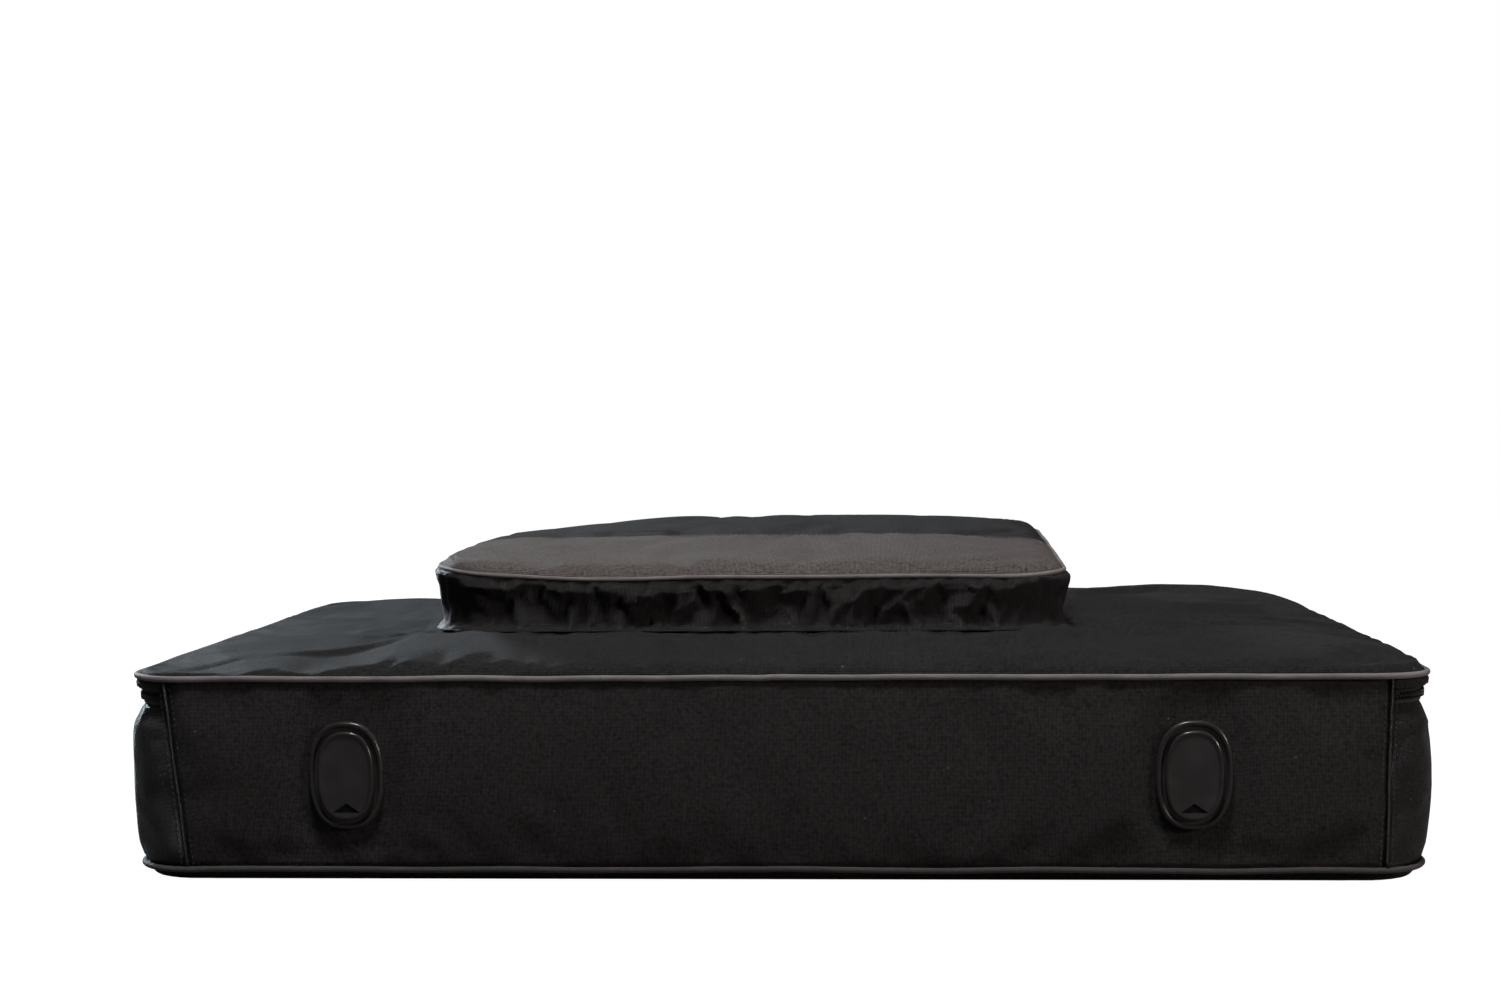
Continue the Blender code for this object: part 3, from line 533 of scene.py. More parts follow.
def outwards(obj):
    """Turns the faces of a closed piece outwards."""
    bm = bmesh.new()
    bm.from_mesh(obj.data)
    bmesh.ops.recalc_face_normals(bm, faces=bm.faces)
    bm.to_mesh(obj.data)
    bm.free()


def oval(half_a, half_b, sides=12):
    """An ellipse as a profile."""
    steps = [2 * math.pi * k / sides for k in range(sides)]
    return [(half_a * math.cos(t), half_b * math.sin(t)) for t in steps]


def slab(a0, a1, b0, b1, r):
    """A rectangle with corners cut by r, as a profile."""
    return [
        (a0 + r, b0), (a1 - r, b0), (a1, b0 + r), (a1, b1 - r),
        (a1 - r, b1), (a0 + r, b1), (a0, b1 - r), (a0, b0 + r),
    ]


def ring_spot(ring, s, inset, height, plane=None, shift=(0, 0)):
    """The (place, outward, upward) at a length along a ring, in the given plane."""
    place, normal = ring.at(s, inset)
    place.z = height
    up = Vector((0, 0, 1))
    place += normal * shift[0] + up * shift[1]
    if plane is not None:
        turn = plane.to_3x3()
        place, normal, up = plane @ place, turn @ normal, turn @ up
    return place, normal, up


def ring_stations(ring, start, end, step, height, inset=0.0, plane=None, wobble=0.0, seed=0.0):
    """Stations along part of a ring, at a height over it, which stray by up to the wobble."""
    count = max(2, round((end - start) / step))
    closed = abs(end - start - ring.length) < 1e-6
    stations = []
    for k in range(count if closed else count + 1):
        s = start + (end - start) * k / count
        stray = noise.noise_vector(Vector((s * 16, seed, 0))) * wobble
        stations.append(ring_spot(ring, s, inset, height, plane, (stray.x * 0.6, stray.z)))
    return stations


def swell(value, low, high):
    """Rises smoothly from 0 at low to 1 at high."""
    t = min(1.0, max(0.0, (value - low) / (high - low)))
    return t * t * (3 - 2 * t)


def ripple(x, y, wave, seed):
    """Smooth waves of about this length, from -1 to 1."""
    return noise.noise(Vector((x / wave, y / wave, seed)))


def fold(x, y, start, end, width):
    """Height, from 0 to 1, of a soft crease that fades at both ends."""
    ax, ay = start
    dx, dy = end[0] - ax, end[1] - ay
    length = math.hypot(dx, dy)
    t = ((x - ax) * dx + (y - ay) * dy) / length**2
    side = ((x - ax) * dy - (y - ay) * dx) / length
    side += width * 0.7 * noise.noise(Vector((t * 2.2, ax * 9, ay * 9)))
    along = swell(t, -0.25, 0.25) * swell(-t, -1.3, -0.6)
    return math.exp(-((side / width) ** 2)) * along


# Cloth simulation


CLOTHS = []
CLOTH_FRAMES = 16
CLOTH_SETTINGS = {
    "quality": 4,
    "mass": 0.25,
    "tension_stiffness": 20,
    "compression_stiffness": 20,
    "shear_stiffness": 8,
    "tension_damping": 15,
    "compression_damping": 15,
    "air_damping": 2,
    "vertex_group_mass": "held",
    "pin_stiffness": 1.0,
}


def settle(obj, pinned, slack, cap, bending, pressure=0.0, soft=0.0):
    """Lists a sheet for the simulation.

    Pinned points stay, slack is the share of spare cloth, cap limits how far a
    point may move, and soft is how strongly the other points hold their places.
    """
    CLOTHS.append((obj, pinned, slack, pressure, cap, bending, soft))


def run_cloths():
    """Settles every listed sheet at once and keeps its new shape."""
    if not CLOTHS:
        return
    rest = {}
    for obj, pinned, slack, pressure, _, bending, soft in CLOTHS:
        count = len(obj.data.vertices)
        rest[obj.name] = np.empty(count * 3)
        obj.data.vertices.foreach_get("co", rest[obj.name])
        group = obj.vertex_groups.new(name="held")
        held = set(pinned)
        group.add(sorted(held), 1.0, "REPLACE")
        if soft:
            group.add([k for k in range(count) if k not in held], soft, "REPLACE")
        settings = obj.modifiers.new("cloth", "CLOTH").settings
        for key, value in CLOTH_SETTINGS.items():
            setattr(settings, key, value)
        settings.bending_stiffness = bending
        settings.shrink_min = -slack
        settings.effector_weights.gravity = 0
        settings.use_pressure = pressure != 0
        settings.uniform_pressure_force = pressure
    for number in range(1, CLOTH_FRAMES + 1):
        SCENE.frame_set(number)
    graph = bpy.context.evaluated_depsgraph_get()
    for obj, _, _, _, cap, _, _ in CLOTHS:
        count = len(obj.data.vertices)
        moved = np.empty(count * 3)
        obj.evaluated_get(graph).data.vertices.foreach_get("co", moved)
        start = rest[obj.name].reshape(-1, 3)
        shift = np.nan_to_num(moved.reshape(-1, 3) - start)
        size = np.linalg.norm(shift, axis=1, keepdims=True)
        shift *= cap * np.tanh(size / cap) / np.maximum(size, 1e-9)
        obj.modifiers.remove(obj.modifiers["cloth"])
        obj.vertex_groups.clear()
        obj.data.vertices.foreach_set("co", (start + shift).ravel())
        obj.data.update()
    SCENE.frame_set(1)


def borders(obj):
    """Indices of a grid's outer points."""
    count_u, count_v = obj["grid"]
    return [
        i * count_v + j
        for i in range(count_u)
        for j in range(count_v)
        if i in (0, count_u - 1) or j in (0, count_v - 1)
    ]


def smooth_points(obj, factor):
    """Takes the sharpest kinks out of a settled sheet, whose border stays."""
    bm = bmesh.new()
    bm.from_mesh(obj.data)
    inner = [vert for vert in bm.verts if not vert.is_boundary]
    bmesh.ops.smooth_vert(bm, verts=inner, factor=factor, use_axis_x=True, use_axis_y=True, use_axis_z=True)
    bm.to_mesh(obj.data)
    bm.free()


def back_with(obj, inner):
    """Closes a sheet into a pad, lined on the other face, where inner gives each point's place."""
    count_u, count_v = obj["grid"]
    mesh = obj.data
    outer = [vert.co.copy() for vert in mesh.vertices]
    layer = mesh.uv_layers[0].data
    marks = {}
    for polygon in mesh.polygons:
        for loop in polygon.loop_indices:
            marks[mesh.loops[loop].vertex_index] = tuple(layer[loop].uv)
    points = outer + [Vector(inner(k, place)) for k, place in enumerate(outer)]
    total = len(outer)
    fronts = [list(polygon.vertices) for polygon in mesh.polygons]
    backs = [[index + total for index in face][::-1] for face in fronts]
    edge = [i * count_v for i in range(count_u)]
    edge += [(count_u - 1) * count_v + j for j in range(1, count_v)]
    edge += [i * count_v + count_v - 1 for i in range(count_u - 2, -1, -1)]
    edge += [j for j in range(count_v - 2, 0, -1)]
    rims = [[b, a, a + total, b + total] for a, b in zip(edge, edge[1:] + edge[:1])]
    slots = [0] * len(fronts) + [1] * len(backs) + [2] * len(rims)
    every = fronts + backs + rims
    uvs = [marks[index % total] for face in every for index in face]
    name, slot = obj.name, mesh.materials[0].name
    key = next(k for k, m in MATERIALS.items() if m.name == slot)
    bpy.data.objects.remove(obj)
    bpy.data.meshes.remove(mesh)
    made = mesh_object(name, points, every, uvs, [key, "lining", "webbing"], slots)
    outwards(made)
    return made


# Threads


def stitch_row(name, stations, body, pitch=4.2 * MM, length=3.0 * MM):
    """A row of stitches along stations, each a thread that dips into the cloth at both ends."""
    places = [station[0] for station in stations]
    lengths = np.cumsum([0.0] + [(b - a).length for a, b in zip(places, places[1:])])
    tables = [np.array([list(station[column]) for station in stations]) for column in (0, 1)]

    def along(s):
        place, normal = (Vector([np.interp(s, lengths, table[:, k]) for k in range(3)]) for table in tables)
        return place, normal.normalized()

    points, faces, uvs = [], [], []
    for k in range(int(lengths[-1] / pitch)):
        middle = (k + 0.5) * pitch
        start, first_normal = along(middle - length / 2)
        end, last_normal = along(middle + length / 2)
        centre, normal = along(middle)
        run = (end - start).normalized()
        side = run.cross(normal)
        base = len(points)
        points.append(start - first_normal * STITCH_R * 0.6)
        for t in (-0.25, 0.25):
            spot = centre + run * length * t + normal * STITCH_R * 0.35
            for turn in range(4):
                angle = math.pi / 4 + turn * math.pi / 2
                points.append(spot + side * STITCH_R * math.cos(angle) + normal * STITCH_R * math.sin(angle))
        points.append(end - last_normal * STITCH_R * 0.6)
        for turn in range(4):
            here, there = 1 + turn, 1 + (turn + 1) % 4
            for face in ((0, there, here), (here, there, there + 4, here + 4), (here + 4, there + 4, 9)):
                faces.append([base + index for index in face])
                uvs += [(length * (index > 4), 0.3 * MM * turn) for index in face]
    place_piece(mesh_object(name, points, faces, uvs, ["thread"]), body, "webbing")


# Padded panels


def axis_steps(low, high, step):
    """Places along an axis, closer together near both ends."""
    first, last = low + EDGE_STEPS[-1], high - EDGE_STEPS[-1]
    count = max(2, round((last - first) / step))
    middle = list(np.linspace(first, last, count + 1))
    start, end = ([side * offset for offset in EDGE_STEPS[:-1]] for side in (1, -1))
    return [low + offset for offset in start] + middle + [high + offset for offset in end[::-1]]


def round_corner(ring, inset, x, y):
    """Moves a point of a plain grid so that the grid fills the ring's round corner."""
    half_x, half_y = ring.x + ring.r - inset, ring.y + ring.r - inset
    radius = ring.r - inset
    zone = 2 * radius
    a, b = (abs(x) - half_x + zone) / zone, (abs(y) - half_y + zone) / zone
    if a > 0 and b > 0:
        reach = 1 - radius / zone * (1 - math.sqrt(0.5))
        k = 2 * (1 - reach**2)
        a, b = a * math.sqrt(1 - k * b * b / 2), b * math.sqrt(1 - k * a * a / 2)
        x = math.copysign(half_x - zone + a * zone, x)
        y = math.copysign(half_y - zone + b * zone, y)
    return x, y


def panel(name, ring, inset, step, height, material, y_range=None, plane=None):
    """A sheet that fills a ring, or a band of it, at a height over each point."""
    half_x, half_y = ring.x + ring.r - inset, ring.y + ring.r - inset
    low, high = y_range or (-half_y, half_y)
    xs = axis_steps(-half_x, half_x, step)
    ys = axis_steps(low, high, step)
    flat = []
    for i, raw_x in enumerate(xs):
        for j, raw_y in enumerate(ys):
            x, y = round_corner(ring, inset, raw_x, raw_y)
            at_ring = (j == 0 and low < -half_y + MM) or (j == len(ys) - 1 and high > half_y - MM)
            if i in (0, len(xs) - 1) or at_ring:
                x, y = ring.snap(x, y, inset)
                y = min(max(y, low), high)
            flat.append((x, y))
    size = (len(xs) - 1, len(ys) - 1)

    def step_of(u, v):
        return round(u * size[0]) * len(ys) + round(v * size[1])

    def place(u, v):
        x, y = flat[step_of(u, v)]
        point = Vector((x, y, height(x, y)))
        return plane @ point if plane is not None else point

    return cloth_grid(name, len(xs), len(ys), place, lambda u, v: flat[step_of(u, v)], [material])


LID_DEPTHS = mm(1.5, 3.2, 7, 14, 30, 60, 90, 114, 400)
LID_HEIGHTS = mm(0.6, 3.2, 7.0, 10.0, 13.2, 16.7, 19.0, 20.5, 20.5)
LID_SAG = 0.5
LID_STEP = 4.4 * MM
LID_THICKNESS, LID_HEM = 10.6 * MM, 1.5 * MM
LID_LINING_LOW = -2.2 * MM
# Creases of the front panel, most of them from the pocket's near right corner:
# (start, end, width in mm, height in mm)
LID_FOLDS = (
    ((0.204, -0.186), (0.168, -0.264), 7, 5.5),
    ((0.222, -0.184), (0.194, -0.272), 7, 6.5),
    ((0.238, -0.180), (0.226, -0.256), 7, 5.0),
    ((0.240, -0.168), (0.300, -0.226), 9, 5.0),
    ((0.236, -0.150), (0.400, -0.150), 11, 4.0),
    ((0.240, -0.128), (0.420, -0.070), 12, 3.4),
    ((0.234, -0.100), (0.360, -0.010), 13, 3.6),
    ((0.236, -0.060), (0.330, 0.090), 15, 3.0),
    ((0.300, -0.200), (0.430, -0.190), 10, 2.4),
    ((0.290, -0.060), (0.420, 0.060), 16, 2.4),
    ((-0.272, -0.170), (-0.360, -0.240), 9, 2.4),
    ((-0.280, -0.120), (-0.430, -0.170), 14, 3.0),
    ((-0.276, -0.040), (-0.410, -0.020), 15, 2.8),
    ((-0.276, 0.040), (-0.410, 0.120), 16, 2.6),
    ((-0.150, -0.215), (0.020, -0.232), 6, 1.4),
    ((0.020, -0.222), (0.160, -0.244), 6, 1.6),
    ((-0.240, -0.222), (-0.120, -0.250), 7, 1.4),
    ((0.395, -0.262), (0.452, -0.300), 6, 2.0),
    ((-0.400, -0.262), (-0.450, -0.300), 6, 1.8),
    ((-0.10, 0.225), (0.16, 0.245), 10, 1.8),
    ((0.240, 0.150), (0.360, 0.220), 12, 2.4),
    ((-0.275, 0.150), (-0.400, 0.215), 12, 2.4),
)


def pocket_distance(x, y):
    """How far a point of the front panel lies outside the pocket's base."""
    return -POCKET_RING.depth(x - POCKET_X, y - POCKET_Y)


def lid_crown(x, y):
    """How high the padding lifts the front panel: nothing at its rim, and half as much at its left end."""
    return np.interp(CASE_RING.depth(x, y), LID_DEPTHS, LID_HEIGHTS) * (1 - LID_SAG * swell(-x, 0.225, 0.345))


def lid_height(x, y):
    """The front panel's height: its crown, slow waves, creases, gathers, and a dip along the pocket."""
    depth = CASE_RING.depth(x, y)
    away = pocket_distance(x, y)
    free = swell(depth, 4 * MM, 26 * MM) * swell(away, -2 * MM, 8 * MM)
    height = lid_crown(x, y)
    soft = 1.8 * ripple(x, y, 0.16, 3.1) + 0.9 * ripple(x, y, 0.06, 8.4) + 0.5 * ripple(x, y, 0.025, 2.0)
    for start, end, width, rise in LID_FOLDS:
        soft += rise * fold(x, y, start, end, width * MM)
    gather = math.exp(-max(away, 0) / (42 * MM)) * swell(away, -1 * MM, 5 * MM)
    soft += gather * 3.4 * noise.noise(Vector((x / 0.016, y / 0.07, 2.0)))
    dip = 3.0 * math.exp(-(((away - 10 * MM) / (9 * MM)) ** 2)) * swell(depth, 20 * MM, 60 * MM)
    return FRONT_Z + height + (free * soft - dip) * MM


def make_lid():
    """The front panel: a padded sheet, gathered by the pocket's seam, over a thin lining."""
    sheet = panel("front_panel_pad", CASE_RING, PAD_INSET, LID_STEP, lid_height, "lid")
    held = borders(sheet)
    for vert in sheet.data.vertices:
        if pocket_distance(vert.co.x, vert.co.y) < 0:
            held.append(vert.index)
    settle(sheet, held, 0.012, cap=5 * MM, bending=1.2, soft=0.03)
    return sheet


def finish_lid(sheet):
    smooth_points(sheet, 0.2)

    def lining(_, place):
        depth = CASE_RING.depth(place.x, place.y)
        height = lid_crown(place.x, place.y) - LID_THICKNESS * swell(depth, 0, 16 * MM) - LID_HEM
        height += swell(depth, 10 * MM, 40 * MM) * 0.9 * MM * ripple(place.x, place.y, 0.05, 4)
        return place.x, place.y, FRONT_Z + max(height, LID_LINING_LOW)

    pad = back_with(sheet, lining)
    place_piece(pad, "front_panel", "black_fabric", "front_cover", "front_foam", "front_lining")


SEAM_S = CASE_RING.x + 11.5 * MM
WALL_LOW = BACK_Z + 1.3 * MM
WALL_HIGH = FRONT_Z - 1.3 * MM
SIDE_HIGH = ZIP_Z - 5.0 * MM
FOOT_LEFT_X, FOOT_RIGHT_X, FOOT_Z = -305 * MM, 297.5 * MM, 78.5 * MM
FOOT_A, FOOT_B = 27 * MM, 39 * MM
FOOT_POWER = 2.5


def foot_distance(x, z):
    """How far a point of the bottom wall lies outside the nearer foot's oval, roughly."""
    a = abs(x - (FOOT_LEFT_X if x < 0 else FOOT_RIGHT_X)) / FOOT_A
    b = abs(z - FOOT_Z) / FOOT_B
    return ((a**FOOT_POWER + b**FOOT_POWER) ** (1 / FOOT_POWER) - 1) * FOOT_A


def seam_at(side, z):
    """How far along the near side, from its middle, a corner seam stands at this height."""
    if side > 0:
        return SEAM_S + 1.5 * MM * noise.noise(Vector((z * 18, 3, 1)))
    down = (FRONT_Z - z) / (FRONT_Z - BACK_Z)
    return SEAM_S + (3 - 14 * down) * MM + 1.5 * MM * noise.noise(Vector((z * 18, -3, 1)))


def wall_sheet(name, ends, low, high, step_s, step_z, out, material):
    """A sheet along part of the case's ring, whose ends depend on the height.

    out gives how far each point stands outside the ring.
    """
    start, end = ends(high)
    count_u, count_v = round((end - start) / step_s) + 1, round((high - low) / step_z) + 1

    def spot(u, v):
        z = low + (high - low) * v
        first, last = ends(z)
        return first + (last - first) * u, z

    def place(u, v):
        s, z = spot(u, v)
        point, _ = CASE_RING.at(s, -out(s, z, u, v))
        return point + Vector((0, 0, z))

    return cloth_grid(name, count_u, count_v, place, spot, [material])


def near_ends(z):
    """Where the bottom wall starts and ends along the case's ring at this height."""
    return -seam_at(-1, z), seam_at(1, z)


def side_ends(z):
    """Where the side wall starts and ends along the case's ring at this height."""
    return seam_at(1, z), CASE_RING.length - seam_at(-1, z)


def wall_inner(sheet, ends, low, high, inset):
    """The lining's place behind each point of a wall."""
    count_u, count_v = sheet["grid"]

    def inner(k, _):
        z = low + (high - low) * (k % count_v) / (count_v - 1)
        start, end = ends(z)
        s = start + (end - start) * (k // count_v) / (count_u - 1)
        point, _ = CASE_RING.at(s, inset + 0.5 * MM * ripple(s, z, 0.03, 6))
        return point.x, point.y, z

    return inner


def make_bottom_wall():
    """The padded wall with the feet, which press it in."""

    def out(s, z, u, v):
        puff = math.sin(math.pi * v) ** 0.6 if 0 < v < 1 else 0
        ends = swell(u, 0, 0.02) * swell(-u, -1, -0.98)
        soft = 0.9 * ripple(s, z, 0.11, 5.5) + 0.5 * ripple(s, z, 0.035, 1.2)
        band = 0.7 * math.exp(-(((FRONT_Z - z - 9 * MM) / (5 * MM)) ** 2))
        gather = math.exp(-(FRONT_Z - z) / (12 * MM)) * 1.3 * noise.noise(Vector((s / 0.02, z / 0.08, 4)))
        press = 1 - swell(foot_distance(s, z), 1 * MM, 22 * MM)
        value = -1.2 + puff * (0.35 + 0.65 * ends) * (3.6 + soft + band) + gather * (0 < v < 1)
        return (value * (1 - press) - 1.2 * press) * MM

    sheet = wall_sheet("bottom_wall_pad", near_ends, WALL_LOW, WALL_HIGH, 6 * MM, 4.5 * MM, out, "wall")
    held = borders(sheet)
    for vert in sheet.data.vertices:
        if foot_distance(vert.co.x, vert.co.z) < 1.5 * MM:
            held.append(vert.index)
    settle(sheet, held, 0.008, pressure=0.4, cap=2.5 * MM, bending=1.0)
    return sheet


def make_side_wall():
    """The padded wall round the left, far and right sides, pinched in at the zip."""

    def out(s, z, u, v):
        puff = math.sin(math.pi * v) ** 0.5 if 0 < v < 1 else 0
        ends = swell(u, 0, 0.006) * swell(-u, -1, -0.994)
        soft = 1.6 * ripple(s, z, 0.09, 7.7) + 3.4 * ripple(s, z * 0.3, 0.024, 9.1)
        pinch = -5.0 * swell(v, 0.84, 1.0) - 1.5 * swell(-v, -0.12, 0)
        return (-1.2 + puff * (0.45 + 0.55 * ends) * (3.6 + soft) + pinch) * MM

    sheet = wall_sheet("side_wall_pad", side_ends, WALL_LOW, SIDE_HIGH, 5 * MM, 4.5 * MM, out, "side")
    settle(sheet, borders(sheet), 0.02, pressure=0.3, cap=4 * MM, bending=0.5)
    return sheet


def finish_wall(sheet, ends, high, nodes):
    smooth_points(sheet, 0.5)
    pad = back_with(sheet, wall_inner(sheet, ends, WALL_LOW, high, WALL_THICKNESS))
    place_piece(pad, "tray", "black_fabric", *nodes)


BACK_LINING_Z = 10.4 * MM


def make_back_panel():
    """The panel that the case lies on: fabric under a stiff board, lining over it."""
    depths, heights = mm(1.5, 3.2, 8, 15, 400), mm(9.2, 5.5, 1.7, 0, 0)

    def height(x, y):
        depth = CASE_RING.depth(x, y)
        soft = max(0.0, 0.7 * ripple(x, y, 0.07, 2.2)) * swell(depth, 10 * MM, 60 * MM)
        return np.interp(depth, depths, heights) + soft * MM * 0.6

    sheet = panel("back_panel_pad", CASE_RING, PAD_INSET, 8 * MM, height, "wall")

    def lining(_, place):
        depth = CASE_RING.depth(place.x, place.y)
        soft = 0.35 * ripple(place.x, place.y, 0.06, 9) * swell(depth, 12 * MM, 40 * MM)
        return place.x, place.y, BACK_LINING_Z + soft * MM

    pad = back_with(sheet, lining)
    place_piece(pad, "tray", "black_fabric", "back_cover", "back_board", "back_lining")


# Piping, strips and zips


def make_piping():
    """The piping of the case and of the pocket, and the stitches beside the front panel's."""
    whole = CASE_RING.length
    for name, z, body, node, seed, finish in (
        ("front_edge_piping", FRONT_Z, "front_panel", "front_piping", 1.0, "piping"),
        # The back edge's piping takes the darker copy of the piping, painted shade.
        ("back_edge_piping", BACK_Z, "tray", "back_piping", 6.0, "shaded_piping"),
    ):
        stations = ring_stations(CASE_RING, 0, whole, 6 * MM, z, wobble=0.9 * MM, seed=seed)
        place_piece(sweep(name, stations, oval(PIPE_R, PIPE_R), finish), body, "piping", node)
    row = ring_stations(CASE_RING, 0, whole, 12 * MM, FRONT_Z + 1.1 * MM, 3.1 * MM, wobble=0.9 * MM, seed=1.0)
    row = [(place, (up + out * -0.3).normalized(), up) for place, out, up in row]
    stitch_row("front_edge_stitches", row + row[:1], "front_panel")

    end = 0.2 * MM
    for name, first, last, body, node in (
        ("pocket_front_edge_piping", -POCKET_SIDE, POCKET_SIDE, "front_panel", "pocket_piping_front"),
        ("pocket_flap_edge_piping", POCKET_SIDE, POCKET_REST, "pocket_flap", "pocket_piping_flap"),
    ):
        stations = ring_stations(
            POCKET_RING, first + end, last - end, 6 * MM, 0, plane=POCKET_PLANE, wobble=0.8 * MM, seed=3.0
        )
        pipe = sweep(name, stations, oval(POCKET_PIPE_R, POCKET_PIPE_R), "piping", closed=False)
        place_piece(pipe, body, "piping", node)


TAPE_INSET, TAPE_HALF = 4.6 * MM, 0.35 * MM
TAPE_EDGES = mm(0.9, 5.6)


def zip_run(name, ring, start, end, line_z, lower_body, upper_body, plane=None):
    """Both halves of a zip: tapes, and a coil of separate turns that mesh in the middle."""
    stations = ring_stations(ring, start, end, 8 * MM, line_z, TAPE_INSET, plane)
    for side, half, body in ((-1, "lower", lower_body), (1, "upper", upper_body)):
        low, high = sorted(side * edge for edge in TAPE_EDGES)
        profile = slab(-TAPE_HALF, TAPE_HALF, low, high, 0.2 * MM)
        tape = sweep(f"{name}_tape_{half}_cloth", stations, profile, "tape", closed=False)
        place_piece(tape, body, "zip_tape", f"{name}_tape_{half}")
        turns = coil_turns(f"{name}_coil_{half}_turns", ring, start, end, line_z, side, plane)
        place_piece(turns, body, "zip_coil", f"{name}_coil_{half}")


COIL_PITCH = 2.7 * MM
COIL_INSET = 2.9 * MM
COIL_REACH = ((-2.7, 0.8), (-1.2, 1.0), (0.2, 0.9), (0.75, 0.55))
COIL_SECTION = ((-0.5, -0.9), (0.5, -0.9), (0.62, 0.1), (0.3, 0.9), (-0.3, 0.9), (-0.62, 0.1))


def coil_turns(name, ring, start, end, line_z, side, plane):
    """The turns of one half of a nylon zip coil, as small rounded hooks.

    COIL_REACH gives how far over the zip's line each section of a hook lies, and its girth.
    """
    points, faces = [], []
    sides = len(COIL_SECTION)
    for k in range(int((end - start) / COIL_PITCH)):
        s = start + (k + 0.25 + 0.5 * (side > 0)) * COIL_PITCH
        place, normal, up = ring_spot(ring, s, COIL_INSET, line_z, plane)
        along = up.cross(normal)
        base = len(points)
        for reach, girth in COIL_REACH:
            centre = place + up * (side * reach * MM)
            for a, b in COIL_SECTION:
                points.append(centre + along * (a * MM * girth) + normal * (b * 1.15 * MM * girth))
        faces += quads(len(COIL_REACH), sides, wrap_v=True, start=base)[0]
        faces += [list(range(first, first + sides)) for first in (base, len(points) - sides)]
    uvs = [(0.0, 0.5 * MM * index) for face in faces for index in range(len(face))]
    obj = mesh_object(name, points, faces, uvs, ["coil"])
    outwards(obj)
    return obj


STRIP_PROFILE = [
    (d * MM, z * MM)
    # (out from the ring, up from its height)
    for d, z in (
        (-1.8, -2.2), (0.2, -3.2), (1.0, -5.2), (0.6, -7.6), (-1.2, -9.6), (-2.6, -10.0),
        (-2.9, -9.2), (-1.6, -8.4), (-0.4, -7.0), (-0.1, -5.2), (-0.9, -3.9), (-2.4, -3.0),
    )
]


def make_case_zip():
    """The main zip, and the rolled strip of fabric between it and the front panel's piping."""
    start, end = side_ends(ZIP_Z)
    start, end = start + 1 * MM, end - 1 * MM
    zip_run("main_zip", CASE_RING, start, end, ZIP_Z, "tray", "front_panel")
    stations = ring_stations(CASE_RING, start, end, 5 * MM, FRONT_Z, wobble=0.9 * MM, seed=14.0)
    strip = sweep("front_strip_cloth", stations, STRIP_PROFILE, "wall", closed=False)
    place_piece(strip, "front_panel", "black_fabric", "front_strip")
    row_z = FRONT_Z - 7.9 * MM
    row = ring_stations(CASE_RING, start, end, 10 * MM, row_z, -0.5 * MM, wobble=0.9 * MM, seed=14.0)
    stitch_row("front_strip_stitches", row, "front_panel")


def make_corner_seams():
    """The ridge and two stitch rows where the bottom wall meets the side wall at each near corner."""
    for side, node in ((-1, "corner_seam_left"), (1, "corner_seam_right")):
        for offset, kind, reach in ((0, "ridge", 0.3), (-4.5, "inner", 0.2), (4.0, "outer", 0.5)):
            stations = []
            for z in np.linspace(WALL_LOW + 1 * MM, WALL_HIGH - 1 * MM, 28):
                place, normal = CASE_RING.at(side * (seam_at(side, z) + offset * MM), -reach * MM)
                place.z = z
                stations.append((place, normal, Vector((-normal.y, normal.x, 0))))
            if kind == "ridge":
                ridge = sweep(node + "_ridge", stations, oval(1.5 * MM, 1.1 * MM, 10), "side", closed=False)
                place_piece(ridge, "tray", "webbing", node)
            else:
                stitch_row(f"{node}_stitches_{kind}", stations, "tray")


# Pocket


POCKET_DEPTHS = mm(1.0, 2.4, 6, 12, 24, 50, 90, 130, 400)
POCKET_HEIGHTS = mm(0.3, 2.6, 5.8, 8.4, 10.2, 11.6, 13.4, 14.5, 14.6)


def pocket_height(front):
    """The height over its plane of the pocket's top, whose front half overlaps the flap at the seam."""

    def height(x, y):
        depth = POCKET_RING.depth(x, y)
        soft = 0.9 * ripple(x, y, 0.09, 12.0) + 0.5 * ripple(x, y, 0.035, 4.0)
        value = np.interp(depth, POCKET_DEPTHS, POCKET_HEIGHTS) + soft * MM * swell(depth, 4 * MM, 30 * MM)
        rise, fade = (0.9 * MM, 4 * MM) if front else (-0.8 * MM, 5 * MM)
        return value + rise * math.exp(-abs(y - FLAP_Y) / fade) * swell(depth, 2 * MM, 8 * MM)

    return height


def make_pocket_top():
    """The grey front half of the pocket's top and its black flap."""
    half_y = POCKET_RING.y + POCKET_RING.r - 1.0 * MM
    sheets = []
    for name, span, material, front in (
        ("pocket_front_pad", (-half_y, FLAP_Y - 0.15 * MM), "grey", True),
        ("pocket_flap_pad", (FLAP_Y + 0.15 * MM, half_y), "flap", False),
    ):
        sheet = panel(name, POCKET_RING, 1.0 * MM, 5 * MM, pocket_height(front), material, span, POCKET_PLANE)
        settle(sheet, borders(sheet), 0.006, pressure=0.15, cap=2.5 * MM, bending=0.8, soft=0.03)
        sheets.append(sheet)
    return sheets


def finish_pocket_top(sheets):
    up = POCKET_PLANE.to_3x3() @ Vector((0, 0, 1))
    for sheet, body, node, slot in zip(
        sheets,
        ("front_panel", "pocket_flap"),
        ("pocket_front_panel", "pocket_flap_panel"),
        ("grey_fabric", "black_fabric"),
    ):
        pad = back_with(sheet, lambda _, place: place - up * 1.5 * MM)
        place_piece(pad, body, slot, node)


# How far the pocket's wall stands out, in mm, at shares of its height
WALL_BULGE = ((0, 0.08, 0.3, 0.5, 0.65, 0.78, 0.9, 1), (0, -2.8, -2.2, -0.8, 1.2, 3.4, 3.2, 0))


